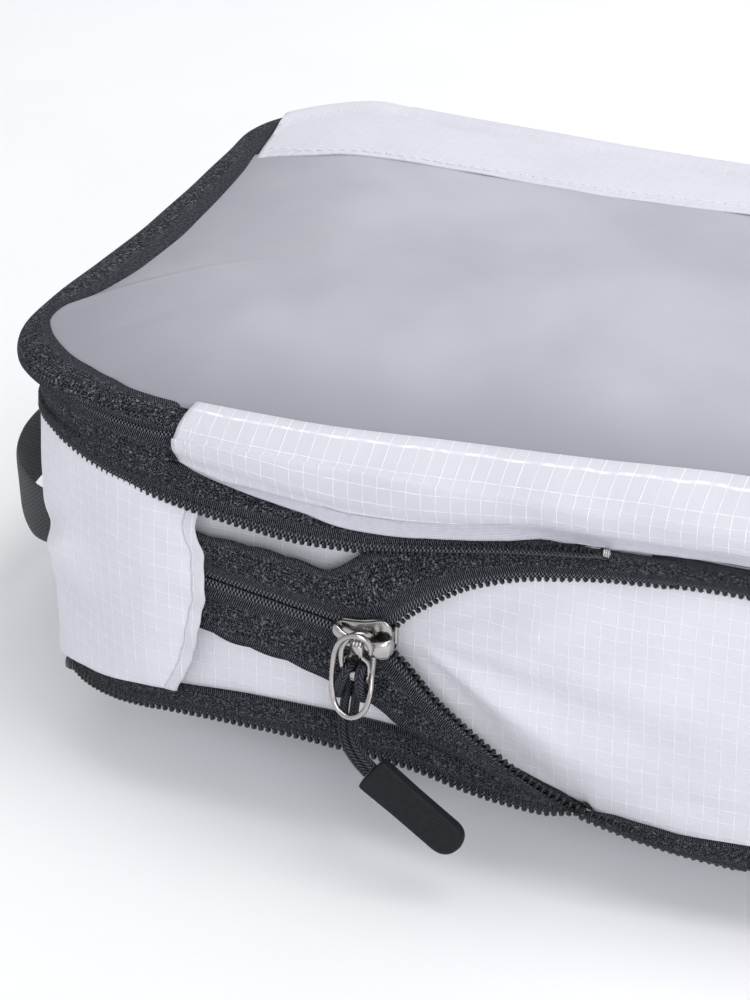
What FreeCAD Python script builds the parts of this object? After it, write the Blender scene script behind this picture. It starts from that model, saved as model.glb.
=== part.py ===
import FreeCAD, Part
import math
import os

# Compression packing cube, stood expanded: its compression zip is open and its lid is closed.
# Millimetres.  +X runs along the length and +Z is up.  -Y is the side that the lid is hinged on.
# The origin is the middle of the flat area that the cube stands on.

V = FreeCAD.Vector

# Driving dimensions
LENGTH = 280.0
DEPTH = 184.0
CORNER_R = 38.0
LOWER_SEAM_Z = 31.0
FOLD_SPLIT_Z = 61.0
UPPER_SEAM_Z = 93.0
MAIN_CHAIN_Z = 102.0
LID_SEAM_Z = 108.6
LID_TOP_Z = 116.0
LID_INSET = 11.0

# Stock thicknesses
FABRIC = 0.8
FILM = 0.4
TAPE = 0.6
TAPE_WIDTH = 13.0
COIL = 1.6
CHAIN_GAP = 0.6             # from the main zip's chain line to each half
WEBBING = 1.4
WEBBING_WIDTH = 15.0
BINDING = 1.2

# Offsets of each layer from the plan outline, positive outwards
UPPER_WALL_OFFSET = -0.1
LOWER_WALL_OFFSET = -1.6
TAPE_OFFSET = 0.2
TAIL_OFFSET = 2.2           # the closed start of the compression zip lies outside the upper half's coil
FLAP_OFFSET = 4.2
ANCHOR_OFFSET = 2.2

# The underside's sections: half length, half depth, corner radius, height
BELLY = ((95.0, 52.0, 30.0, 0.0), (118.0, 72.0, 36.0, 7.0), (132.0, 85.0, 37.0, 17.0),
         (137.2, 89.2, 35.2, LOWER_SEAM_Z))

# The compression zip's start, on the -Y side
TAIL_START_X = -86.0
TAIL_END_X = -42.0
SLIDER_X = -39.5
TAIL_Z = 61.0
TAIL_TILT = 9.0             # degrees, the closed chain falls towards +X
UPPER_ARM_END_X = 14.0
LOWER_ARM_END_X = 8.0
# The coil edges of its two opened arms, as (x, z), and the tape's width at each of those points
UPPER_ARM = ((-30.5, 67.0), (-24.0, 72.5), (-12.0, 80.0), (0.0, 83.5), (UPPER_ARM_END_X, 85.5))
LOWER_ARM = ((-30.5, 55.0), (-26.0, 50.0), (-18.0, 41.0), (-6.0, 31.0), (LOWER_ARM_END_X, 22.5))
ARM_WIDTHS = (9.0, 9.0, 7.0, 6.0, 5.0)
ARM_COIL_WIDTH = 2.4
HINGE_STRIP_HALF = 91.0
FLAP_EDGE_X = -80.0
FLAP_EDGE_Y = -68.0

# The lid: its domed skin's insets and shares of the height, its label strip and its care label
DOME_LEVELS = ((30.0, 0.55), (52.0, 0.86), (70.0, 1.0))
STRIP_SEAM_Y = 40.0
LABEL_LENGTH = 34.0
LABEL_WIDTH = 11.0

# Sliders and pulls
MAIN_SLIDER_X = 62.0
SLIDER_LENGTH = 13.0
SLIDER_WIDTH = 10.0
SLIDER_TAIL_WIDTH = 6.6
SLIDER_PLATE = 1.1
SLIDER_GAP = 2.8
CROWN_HALF = 5.4
CROWN_LEG = 1.2
CROWN_BAR_R = 0.8
CROWN_BAR_RISE = 2.7        # from the slider's front plate to the middle of the bar that the pull turns on
RING_WIRE = 1.6
RING_LENGTH = 20.5
RING_WIDTH = 10.4
CORD_D = 2.2
TAB_LENGTH = 26.5
TAB_WIDTH = 10.0
TAB_THICK = 3.6
COMPRESSION_POST = 3.0      # the height of the post between a slider's plates
MAIN_POST = 0.6
SLIDER_BACK_OFFSET = 0.4    # of the compression slider's back plate, from the plan outline
MAIN_SLIDER_OFFSET = -2.6

# The pulls, measured from the crown's axis
PLATE_DROP = 8.6            # from the crown's axis to the puller plate's lower edge
PLATE_HALF = 3.3
PLATE_THICK = 0.9
PLATE_Y = -1.95             # the puller plate's middle, from the crown's axis
EYE_INNER_R = 1.5
EYE_OUTER_R = 2.4
EYE_HALF = 1.5
CORD_BACK = 2.6             # a strand's middle, from the puller plate's middle
HITCH_Z = -4.9              # where the cord goes through the plate's slot
RING_X = -0.3
RING_Y = -3.6
RING_TILT = 9.5
RING_HOOK_X = -3.3
RING_HOOK_WIRE = 1.1
TAB_Y = -6.5
TIGHTEST_CORD = 0.6         # a cord's smallest arc, in its own diameters
NEAR_TAB_TOP = (5.2, -31.0)
NEAR_TAB_FALL = 36.0        # degrees below level that a tab points
FAR_TAB_TOP = (0.0, -32.0)
FAR_TAB_FALL = 90.0

# The carry handle, on the -X end
HANDLE_SPAN = 116.0
HANDLE_BOW = 24.0
HANDLE_Z = 46.0
HANDLE_GAP = 6.2            # between the wall's sewn webbing and the loop that swings

NEAR_Y = -DEPTH / 2
FAR_Y = DEPTH / 2
LEFT_X = -LENGTH / 2
BIG = 400.0


def export(name, shape):
    shape.exportStep("parts/" + name + ".step")


def rounded_rect(half_x, half_y, radius, z):
    """A closed wire: a rectangle with round corners, at height z."""
    kx, ky = half_x - radius, half_y - radius
    s = radius * math.sqrt(0.5)
    edges = []
    for sx, sy in ((1, -1), (1, 1), (-1, 1), (-1, -1)):
        start_on_x = sx * sy > 0
        on_x, on_y = V(sx * half_x, sy * ky, z), V(sx * kx, sy * half_y, z)
        middle = V(sx * (kx + s), sy * (ky + s), z)
        first, last = (on_x, on_y) if start_on_x else (on_y, on_x)
        if edges:
            edges.append(Part.makeLine(edges[-1].valueAt(edges[-1].LastParameter), first))
        edges.append(Part.Arc(first, middle, last).toShape())
    edges.append(Part.makeLine(edges[-1].valueAt(edges[-1].LastParameter),
                               edges[0].valueAt(edges[0].FirstParameter)))
    return Part.Wire(edges)


def plan(offset, z):
    """The cube's plan outline, grown by offset."""
    return rounded_rect(LENGTH / 2 + offset, DEPTH / 2 + offset, max(CORNER_R + offset, 6.0), z)


def loft(wires):
    return Part.makeLoft(wires, True, True)


def slab(offset, z0, z1):
    return Part.Face(plan(offset, z0)).extrude(V(0, 0, z1 - z0))


def ring(inner, thick, z0, z1):
    """A band round the whole plan, from offset inner to inner + thick."""
    return slab(inner + thick, z0, z1).cut(slab(inner, z0 - 1, z1 + 1))


def box(x0, x1, y0, y1, z0, z1):
    return Part.makeBox(x1 - x0, y1 - y0, z1 - z0, V(x0, y0, z0))


def near_slot(half, z0, z1):
    """The block that takes the hinge strip's stretch out of a band."""
    return box(-half, half, NEAR_Y - 30, NEAR_Y + 30, z0, z1)


# ---- body, below the fold --------------------------------------------------------------------

def belly(inset, rise):
    """The full underside: a flat contact area that rises to the bottom seam."""
    return loft([rounded_rect(half_x - inset, half_y - inset, radius - inset, z + rise)
                 for half_x, half_y, radius, z in BELLY])


def bottom_panel():
    hollow = belly(FABRIC, FABRIC)
    return belly(0.0, 0.0).cut(hollow)


def gusset_lower_wall():
    return ring(LOWER_WALL_OFFSET - FABRIC, FABRIC, LOWER_SEAM_Z + 0.2, FOLD_SPLIT_Z)


def lower_seam_binding():
    return ring(-5.4, BINDING, LOWER_SEAM_Z + 1.2, LOWER_SEAM_Z + 4.0)


def compression_lower_tape():
    return ring(TAPE_OFFSET, TAPE, LOWER_SEAM_Z - TAPE_WIDTH + 1.0, LOWER_SEAM_Z + 1.0)


def compression_lower_coil():
    top = LOWER_SEAM_Z - TAPE_WIDTH + 0.8
    return ring(TAPE_OFFSET - 0.3, COIL, top - COIL, top)


def garage_flap():
    band = ring(FLAP_OFFSET, 0.5, LOWER_SEAM_Z + 2.0, UPPER_SEAM_Z - 6.0)
    return band.common(box(-BIG, FLAP_EDGE_X, -BIG, FLAP_EDGE_Y, 0, BIG))


def end_stop(coil_bottom):
    """The crimp on the last element of one half of the compression zip."""
    y = NEAR_Y - COIL - 0.05
    return box(UPPER_ARM_END_X - 4.0, UPPER_ARM_END_X - 1.0, y - 0.4, y, coil_bottom, coil_bottom + COIL)


def lower_end_stop():
    return end_stop(LOWER_SEAM_Z - TAPE_WIDTH + 0.8 - COIL)


def upper_end_stop():
    return end_stop(UPPER_SEAM_Z - TAPE_WIDTH - COIL - 0.1)


# ---- middle: the zip's start -----------------------------------------------------------------

def tilted(shape):
    """Turns a level piece of the zip's start to the slope of its chain."""
    shape.rotate(V(SLIDER_X, 0, TAIL_Z), V(0, 1, 0), TAIL_TILT)
    return shape


def tail_tape(side):
    y = NEAR_Y - TAIL_OFFSET
    near_edge, far_edge = sorted((TAIL_Z + side * 0.4, TAIL_Z + side * TAPE_WIDTH))
    return tilted(box(TAIL_START_X, TAIL_END_X + 1.0, y - TAPE, y, near_edge, far_edge))


def tail_coil():
    y = NEAR_Y - TAIL_OFFSET - TAPE
    return tilted(box(TAIL_START_X + 2.0, TAIL_END_X - 5.0, y - 0.8, y - 0.1, TAIL_Z - 2.6, TAIL_Z + 2.6))


def start_stop():
    y = NEAR_Y - TAIL_OFFSET - TAPE
    return tilted(box(TAIL_START_X - 0.5, TAIL_START_X + 1.7, y - 0.9, y - 0.1, TAIL_Z - 3.2, TAIL_Z + 3.2))


def band_between(points_top, points_bottom, y, thick):
    """A flat strip in a plane of constant y, from its upper and lower edges given as (x, z)."""
    outline = [V(x, y, z) for x, z in points_top + points_bottom[::-1]]
    return Part.Face(Part.makePolygon(outline + outline[:1])).extrude(V(0, -thick, 0))


def arm_band(side, near, widths, y, thick):
    """A strip along one opened arm, from near to widths away from its coil edge."""
    path = UPPER_ARM if side > 0 else LOWER_ARM
    inner = [(x, z + side * near) for x, z in path]
    outer = [(x, z + side * width) for (x, z), width in zip(path, widths)]
    top, bottom = (outer, inner) if side > 0 else (inner, outer)
    return band_between(top, bottom, y, thick)


def arm_tape(side):
    return arm_band(side, 0.0, ARM_WIDTHS, NEAR_Y - TAIL_OFFSET, TAPE)


def arm_coil(side):
    widths = [ARM_COIL_WIDTH] * len(ARM_WIDTHS)
    return arm_band(side, 0.1, widths, NEAR_Y - TAIL_OFFSET - TAPE - 0.1, COIL)


def handle_anchors():
    x = LEFT_X - ANCHOR_OFFSET
    ends = []
    for side in (-1, 1):
        middle = side * (HANDLE_SPAN / 2 - 4.0)
        ends.append(box(x - WEBBING, x, middle - 7.0, middle + 7.0,
                        HANDLE_Z - WEBBING_WIDTH / 2, HANDLE_Z + WEBBING_WIDTH / 2))
    return Part.makeCompound(ends)


def handle_bartacks():
    x = LEFT_X - ANCHOR_OFFSET - WEBBING - 0.05
    rows = []
    for side in (-1, 1):
        for row in (-5.0, 0.0):
            middle = side * (HANDLE_SPAN / 2 - 3.0 + row)
            rows.append(box(x - 0.4, x, middle - 0.7, middle + 0.7, HANDLE_Z - 6.0, HANDLE_Z + 6.0))
    return Part.makeCompound(rows)


# ---- handle ----------------------------------------------------------------------------------

def handle_webbing():
    x = LEFT_X - ANCHOR_OFFSET - HANDLE_GAP
    bow = HANDLE_BOW - HANDLE_GAP
    half = HANDLE_SPAN / 2 - 8.0
    foot = 2.6
    inner = Part.Arc(V(x, -half, 0), V(x - bow + WEBBING, 0, 0), V(x, half, 0)).toShape()
    outer = Part.Arc(V(x, -half - foot, 0), V(x - bow, 0, 0), V(x, half + foot, 0)).toShape()
    near_end = Part.makeLine(V(x, half, 0), V(x, half + foot, 0))
    far_end = Part.makeLine(V(x, -half - foot, 0), V(x, -half, 0))
    face = Part.Face(Part.Wire([inner, near_end, outer, far_end]))
    face.translate(V(0, 0, HANDLE_Z - WEBBING_WIDTH / 2))
    return face.extrude(V(0, 0, WEBBING_WIDTH))


# ---- body, above the fold --------------------------------------------------------------------

def gusset_upper_wall():
    return ring(UPPER_WALL_OFFSET - FABRIC, FABRIC, FOLD_SPLIT_Z + 0.3, UPPER_SEAM_Z - 0.2)


def upper_seam_binding():
    return ring(-5.0, BINDING, UPPER_SEAM_Z - 1.4, UPPER_SEAM_Z + 1.4)


def compression_upper_tape():
    return ring(TAPE_OFFSET, TAPE, UPPER_SEAM_Z - TAPE_WIDTH, UPPER_SEAM_Z)


def compression_upper_coil():
    bottom = UPPER_SEAM_Z - TAPE_WIDTH
    return ring(TAPE_OFFSET - 0.2, COIL, bottom - COIL - 0.1, bottom - 0.1)


def main_zip_lower_tape():
    band = ring(TAPE_OFFSET, TAPE, UPPER_SEAM_Z + 0.2, MAIN_CHAIN_Z - CHAIN_GAP)
    return band.cut(near_slot(HINGE_STRIP_HALF, 0, BIG))


def main_zip_lower_coil():
    band = ring(TAPE_OFFSET - 1.5, 1.2, MAIN_CHAIN_Z - CHAIN_GAP - 1.2, MAIN_CHAIN_Z - CHAIN_GAP)
    return band.cut(near_slot(HINGE_STRIP_HALF - 4.0, 0, BIG))


def hinge_strip_front():
    band = ring(TAPE_OFFSET + TAPE + 0.2, FABRIC, UPPER_SEAM_Z - 1.0, MAIN_CHAIN_Z - CHAIN_GAP)
    return band.common(near_slot(HINGE_STRIP_HALF, 0, BIG))


def main_zip_end_stops():
    y = NEAR_Y + 2.6
    stops = [box(x - 1.5, x + 1.5, y - 0.9, y + 0.9, MAIN_CHAIN_Z - 2.2, MAIN_CHAIN_Z - 0.5)
             for x in (-HINGE_STRIP_HALF + 6.0, HINGE_STRIP_HALF - 6.0)]
    return Part.makeCompound(stops)


# ---- lid -------------------------------------------------------------------------------------

LID_EDGE = ((TAPE_OFFSET + TAPE, MAIN_CHAIN_Z + CHAIN_GAP), (TAPE_OFFSET + TAPE, LID_SEAM_Z - 2.0),
            (-2.6, LID_SEAM_Z + 0.3), (-LID_INSET, LID_SEAM_Z + 1.0))


def lid_edge(drop, z_from):
    """The turned edge of the lid, from the zip's chain over onto the top."""
    outer = loft([plan(offset, z) for offset, z in LID_EDGE])
    first, *rest = LID_EDGE
    inner = loft([plan(first[0] - drop, first[1])] + [plan(offset - drop, z - drop) for offset, z in rest])
    hole = slab(-LID_INSET - drop, z_from - 10, BIG)
    return outer.cut(inner).cut(hole)


def main_zip_upper_tape():
    return lid_edge(TAPE, MAIN_CHAIN_Z).cut(near_slot(HINGE_STRIP_HALF, 0, BIG))


def hinge_strip_top():
    return lid_edge(FABRIC, MAIN_CHAIN_Z).common(near_slot(HINGE_STRIP_HALF, 0, BIG))


def main_zip_upper_coil():
    band = ring(TAPE_OFFSET - 1.5, 1.2, MAIN_CHAIN_Z + CHAIN_GAP, MAIN_CHAIN_Z + CHAIN_GAP + 1.2)
    return band.cut(near_slot(HINGE_STRIP_HALF - 4.0, 0, BIG))


def dome(thick):
    """The domed skin of the lid's top, inside its edge band."""
    top = LID_TOP_Z - LID_SEAM_Z
    levels = ((LID_INSET + 0.3 + thick, 0.0),) + DOME_LEVELS
    skins = [loft([plan(-inset, LID_SEAM_Z + share * top - lower) for inset, share in levels])
             for lower in (0.0, thick)]
    return skins[0].cut(skins[1])


def window_panel():
    return dome(FILM).cut(box(-BIG, BIG, STRIP_SEAM_Y, BIG, 0, BIG))


def label_strip():
    return dome(FILM).common(box(-BIG, BIG, STRIP_SEAM_Y, BIG, 0, BIG))


def lid_binding():
    return ring(-LID_INSET - 2.4, BINDING + 0.6, LID_SEAM_Z - 2.4, LID_SEAM_Z - 0.9)


def care_label():
    y = NEAR_Y + LID_INSET + 4.0
    return box(0.0, LABEL_LENGTH, y, y + LABEL_WIDTH, LID_SEAM_Z - 0.5, LID_SEAM_Z - 0.3)


# ---- sliders and pulls -----------------------------------------------------------------------
# Each is made at the origin, in front of a wall whose outside faces -Y, and then carried to its place.

def slider_outline(y):
    """A slider's plate: wide at its open mouth, +X, and narrow at its tail."""
    h, w, t = SLIDER_LENGTH / 2, SLIDER_WIDTH / 2, SLIDER_TAIL_WIDTH / 2
    points = [V(-h, y, -t), V(0.0, y, -t), V(h - 3.0, y, -w), V(h, y, -w + 2.0),
              V(h, y, w - 2.0), V(h - 3.0, y, w), V(0.0, y, t), V(-h, y, t)]
    return Part.Face(Part.makePolygon(points + points[:1]))


def slider_body(post_height):
    """Two plates, the post between them, and the crown, whose bar the pull turns on."""
    back = slider_outline(0.0).extrude(V(0, -SLIDER_PLATE, 0))
    front_y = -SLIDER_PLATE - SLIDER_GAP
    front = slider_outline(front_y).extrude(V(0, -SLIDER_PLATE, 0))
    half = post_height / 2
    post = box(1.0, SLIDER_LENGTH / 2 - 0.4, front_y - 0.1, -SLIDER_PLATE + 0.1, -half, half)
    body = back.fuse(front).fuse(post)
    bar_y = crown_axis_y()
    body = body.fuse(Part.makeCylinder(CROWN_BAR_R, 2 * CROWN_HALF, V(-CROWN_HALF, bar_y, 0), V(1, 0, 0)))
    for x in (-CROWN_HALF, CROWN_HALF - CROWN_LEG):
        body = body.fuse(box(x, x + CROWN_LEG, bar_y - CROWN_BAR_R, front_y - SLIDER_PLATE + 0.05, -1.2, 1.2))
    return body.removeSplitter()


def crown_axis_y():
    """The middle of the crown's bar, where the pull turns."""
    return -2 * SLIDER_PLATE - SLIDER_GAP - CROWN_BAR_RISE


def tube(route, diameter, tightest):
    """A round cord along straight runs that are joined by tangent arcs.  Prints its radii."""
    runs = [(b - a).Length for a, b in zip(route, route[1:])]
    edges, radii = [], []
    start = route[0]
    for i in range(1, len(route) - 1):
        back, ahead = (route[i - 1] - route[i]).normalize(), (route[i + 1] - route[i]).normalize()
        turn = math.pi - back.getAngle(ahead)
        cut = 0.45 * min(runs[i - 1], runs[i])
        radius = cut / math.tan(turn / 2)
        radii.append(round(radius / diameter, 2))
        first, last = route[i] + back * cut, route[i] + ahead * cut
        inward = (back + ahead).normalize()
        middle = route[i] + inward * (radius / math.cos(turn / 2) - radius)
        edges += [Part.LineSegment(start, first).toShape(), Part.Arc(first, middle, last).toShape()]
        start = last
    edges.append(Part.LineSegment(start, route[-1]).toShape())
    path = Part.Wire(edges)
    section = Part.Wire([Part.makeCircle(diameter / 2, route[0], route[1] - route[0])])
    solid = path.makePipeShell([section], True, False)
    share = solid.Volume / (math.pi * diameter ** 2 / 4 * path.Length)
    print("cord", round(path.Length, 1), "mm, radii in diameters", radii, "volume share", round(share, 4))
    if min(radii) < tightest:
        raise ValueError("a cord's arc is too tight")
    return solid


def puller_plate():
    """The short flat link: an eye round the crown's bar, and a slot that the cord is hitched through."""
    front = PLATE_Y - PLATE_THICK / 2
    plate = box(-PLATE_HALF, PLATE_HALF, front, front + PLATE_THICK, -PLATE_DROP, -2.6)
    neck = box(-EYE_HALF, EYE_HALF, front, front + PLATE_THICK, -2.7, 0)
    slot = box(-PLATE_HALF + 0.8, PLATE_HALF - 0.8, front - 1, front + 2, HITCH_Z - 1.3, HITCH_Z + 1.3)
    start, along = V(-EYE_HALF, 0, 0), V(1, 0, 0)
    hole = Part.makeCylinder(EYE_INNER_R, 2 * EYE_HALF, start, along)
    eye = Part.makeCylinder(EYE_OUTER_R, 2 * EYE_HALF, start, along)
    return plate.fuse(neck).fuse(eye).cut(slot).cut(hole).removeSplitter()


def pull_ring():
    """A long wire ring that hangs in front of the hitch, with a small hook round the crown's bar."""
    half = RING_WIDTH / 2 - RING_WIRE / 2
    low = -RING_LENGTH + RING_WIRE
    path = Part.Wire([Part.makeLine(V(half, 0, -half), V(half, 0, low + half)),
                      Part.Arc(V(half, 0, low + half), V(0, 0, low), V(-half, 0, low + half)).toShape(),
                      Part.makeLine(V(-half, 0, low + half), V(-half, 0, -half)),
                      Part.Arc(V(-half, 0, -half), V(0, 0, 0), V(half, 0, -half)).toShape()])
    section = Part.Wire([Part.makeCircle(RING_WIRE / 2, V(half, 0, -half - 1), V(0, 0, 1))])
    loop = path.makePipeShell([section], True, False)
    loop.rotate(V(0, 0, 0), V(1, 0, 0), -RING_TILT)
    loop.translate(V(RING_X, RING_Y, 0))
    hook_r = (CROWN_BAR_R + CROWN_BAR_RISE) / 2
    hook = Part.makeTorus(hook_r, RING_HOOK_WIRE / 2, V(RING_HOOK_X, 0, 0), V(1, 0, 0))
    start = V(RING_HOOK_X, -hook_r, -0.4)
    stub = Part.makeCylinder(RING_HOOK_WIRE / 2, -RING_Y - hook_r, start, V(0, -1, 0))
    return loop.fuse(hook).fuse(stub).removeSplitter()


def half_route(side, tab_top):
    """One strand of the hitch, from the tab up behind the plate, through it, and round to the back."""
    behind, front = PLATE_Y + CORD_BACK, PLATE_Y - CORD_BACK
    x, z = tab_top
    across, up = (0.75, 0.9) if x else (1.15, 0.0)
    return [V(x + side * across, TAB_Y, z + side * up),
            V(x * 0.35 + side * 1.15, TAB_Y + 0.7, z * 0.8 + side * 0.5),
            V(side * 1.25, behind - 0.6, HITCH_Z - 11.6),
            V(side * 1.2, behind + 0.1, HITCH_Z - 5.6),
            V(side * 1.2, behind, HITCH_Z - 0.2),
            V(side * 1.5, front, HITCH_Z + 0.2),
            V(side * 2.5, front + 0.2, HITCH_Z - 4.9),
            V(side * 3.3, front + 1.9, HITCH_Z - 7.9),
            V(side * 3.0, behind + 2.3, HITCH_Z - 10.2)]


def pull_cord(tab_top):
    left, right = half_route(-1, tab_top), half_route(1, tab_top)
    return tube(left + right[::-1], CORD_D, TIGHTEST_CORD)


def pull_tab(tab_top, angle):
    """A flat moulded tab with a round free end, that points angle degrees below level."""
    w, r = TAB_WIDTH / 2, TAB_WIDTH / 2 - 0.6
    points = [V(0, 0, -w), V(TAB_LENGTH - r, 0, -w + 0.6), V(TAB_LENGTH - r, 0, w - 0.6), V(0, 0, w)]
    edges = [Part.makeLine(points[0], points[1]),
             Part.Arc(points[1], V(TAB_LENGTH, 0, 0), points[2]).toShape(),
             Part.makeLine(points[2], points[3]),
             Part.makeLine(points[3], points[0])]
    tab = Part.Face(Part.Wire(edges)).extrude(V(0, TAB_THICK, 0))
    tab = tab.makeFillet(0.9, [e for e in tab.Edges if e.Length > 9.0])
    tab.translate(V(0, -TAB_THICK / 2, 0))
    tab.rotate(V(0, 0, 0), V(0, 1, 0), angle)
    tab.translate(V(tab_top[0], TAB_Y, tab_top[1]))
    return tab


def place_near(shape):
    shape.translate(V(SLIDER_X, NEAR_Y - SLIDER_BACK_OFFSET, TAIL_Z))
    return shape


def place_far(shape):
    shape.rotate(V(0, 0, 0), V(0, 0, 1), 180)
    shape.translate(V(MAIN_SLIDER_X, FAR_Y + MAIN_SLIDER_OFFSET, MAIN_CHAIN_Z))
    return shape


def export_pull(name, place, tab_top, angle):
    hang = V(0, crown_axis_y(), 0)
    pieces = {"plate": puller_plate(), "ring": pull_ring(), "cord": pull_cord(tab_top),
              "tab": pull_tab(tab_top, angle)}
    for piece, shape in pieces.items():
        shape.translate(hang)
        export(name + "_pull_" + piece, place(shape))


def main():
    os.makedirs("parts", exist_ok=True)
    single = (bottom_panel, gusset_lower_wall, lower_seam_binding, compression_lower_tape,
              compression_lower_coil, garage_flap, tail_coil, start_stop, handle_anchors,
              handle_bartacks, handle_webbing, lower_end_stop, upper_end_stop, gusset_upper_wall,
              upper_seam_binding, compression_upper_tape, compression_upper_coil, main_zip_lower_tape,
              main_zip_lower_coil, hinge_strip_front, main_zip_end_stops, main_zip_upper_tape,
              hinge_strip_top, main_zip_upper_coil, window_panel, label_strip, lid_binding, care_label)
    for make in single:
        export(make.__name__, make())
    for side, word in ((1, "upper"), (-1, "lower")):
        export("zip_tail_" + word + "_tape", tail_tape(side))
        export("zip_start_" + word + "_tape", arm_tape(side))
        export("zip_start_" + word + "_coil", arm_coil(side))
    export("compression_slider_body", place_near(slider_body(COMPRESSION_POST)))
    export("main_slider_body", place_far(slider_body(MAIN_POST)))
    export_pull("compression", place_near, NEAR_TAB_TOP, NEAR_TAB_FALL)
    export_pull("main", place_far, FAR_TAB_TOP, FAR_TAB_FALL)


main()
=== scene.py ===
"""The packing cube's looks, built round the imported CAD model.

Lengths in this script are millimetres, in the CAD model's own frame, and Pile.piece() turns them to metres.
+Z is up, -Y is the side that the lid is hinged on, and +X runs along the length.
"""
import math

import bmesh
import bpy
import numpy as np
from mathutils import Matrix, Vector


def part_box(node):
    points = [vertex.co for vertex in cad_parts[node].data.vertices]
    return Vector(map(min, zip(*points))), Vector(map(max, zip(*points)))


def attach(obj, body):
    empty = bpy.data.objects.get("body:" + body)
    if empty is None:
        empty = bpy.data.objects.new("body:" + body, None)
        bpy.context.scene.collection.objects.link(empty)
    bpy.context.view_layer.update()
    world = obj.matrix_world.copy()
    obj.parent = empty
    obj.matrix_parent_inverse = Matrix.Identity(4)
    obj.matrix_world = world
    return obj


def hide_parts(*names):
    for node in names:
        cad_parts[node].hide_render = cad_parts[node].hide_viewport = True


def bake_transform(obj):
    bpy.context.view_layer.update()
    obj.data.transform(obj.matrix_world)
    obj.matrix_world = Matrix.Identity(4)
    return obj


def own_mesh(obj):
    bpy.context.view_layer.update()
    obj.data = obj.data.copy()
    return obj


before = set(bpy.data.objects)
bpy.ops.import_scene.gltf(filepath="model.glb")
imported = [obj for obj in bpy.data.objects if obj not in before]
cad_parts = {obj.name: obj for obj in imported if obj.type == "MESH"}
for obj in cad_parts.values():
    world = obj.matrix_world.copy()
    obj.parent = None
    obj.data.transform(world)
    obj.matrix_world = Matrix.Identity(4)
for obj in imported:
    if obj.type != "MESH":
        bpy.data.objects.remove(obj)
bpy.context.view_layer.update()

MM = 0.001


def node_box(name):
    """A CAD node's lowest and highest corners."""
    low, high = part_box(name)
    return np.array(low) / MM, np.array(high) / MM


# Driving dimensions, from the frame
TAPE_FACE = 0.8                                    # the zip tapes' outside, from the plan outline
HALF_X = node_box("compression_upper_tape")[1][0] - TAPE_FACE
HALF_Y = node_box("compression_upper_tape")[1][1] - TAPE_FACE
UPPER_SEAM = node_box("compression_upper_tape")[1][2]
LOWER_SEAM = node_box("compression_lower_tape")[1][2] - 1.0
CHAIN = (node_box("main_zip_lower_tape")[1][2] + node_box("main_zip_upper_tape")[0][2]) / 2
LID_EDGE = node_box("main_zip_upper_tape")[1][2]
LID_TOP = node_box("window_panel")[1][2]
CORNER = 38.0                                      # the plan outline's corner radius
RIDGE = HALF_X - HALF_Y                            # half the length of the lid's middle line
STRAIGHT_X = 2 * (HALF_X - CORNER)
STRAIGHT_Y = 2 * (HALF_Y - CORNER)
ARC = CORNER * math.pi / 2
ROUND = 2 * (STRAIGHT_X + STRAIGHT_Y + 2 * ARC)    # all the way round the plan outline
STEP = 1.6                                         # between two columns of a cloth's mesh

SLIDER = np.array([-39.5, -HALF_Y - 0.4, 61.0])    # the compression slider's back plate, middle
MAIN_SLIDER = np.array([62.0, HALF_Y - 2.6, CHAIN])    # the same of the main slider
CROWN_Y = -7.7                                     # the crown's axis, from a slider's back
STRIP_LEFT, STRIP_RIGHT = -86.0, 91.0              # the hinge strip's ends, in x
STRIP_SEAM_Y = 37.5                                # the label strip's near edge
TOOTH_PITCH = 1.75                                 # between two turns of a coil
TAPE_WIDTH = 13.0                                  # across the weave of a compression zip's tape
COIL_STEP = 0.8                                    # between two points of a coil's middle line
ZIP_END = ROUND + 14.0                             # the compression zip laps past its own start


# ---- curves and small sums ---------------------------------------------------------------------

def rim(s):
    """The plan outline and its outward normal, s round from the middle of the -Y side towards +X."""
    s = np.mod(np.asarray(s, float) + STRAIGHT_X / 2, ROUND)
    kx, ky = HALF_X - CORNER, HALF_Y - CORNER
    point, normal = np.zeros(s.shape + (2,)), np.zeros(s.shape + (2,))
    sides = ((-kx, -ky, 0.0, STRAIGHT_X), (kx, -ky, 90.0, STRAIGHT_Y),
             (kx, ky, 180.0, STRAIGHT_X), (-kx, ky, 270.0, STRAIGHT_Y))
    start = 0.0
    for x, y, turn, straight in sides:
        heading = math.radians(turn)
        ahead = np.array([math.cos(heading), math.sin(heading)])
        out = np.array([math.sin(heading), -math.cos(heading)])
        on = (s >= start) & (s < start + straight + ARC)
        along = np.clip(s[on] - start, 0, straight)
        bend = np.clip(s[on] - start - straight, 0, ARC) / CORNER
        facing = np.cos(bend)[:, None] * out + np.sin(bend)[:, None] * ahead
        point[on] = np.array([x, y]) + along[:, None] * ahead + CORNER * facing
        normal[on] = facing
        start += straight + ARC
    return point, normal


def wrapped(s):
    """s, brought to within half a turn of the -Y side's middle."""
    return np.mod(np.asarray(s, float) + ROUND / 2, ROUND) - ROUND / 2


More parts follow.
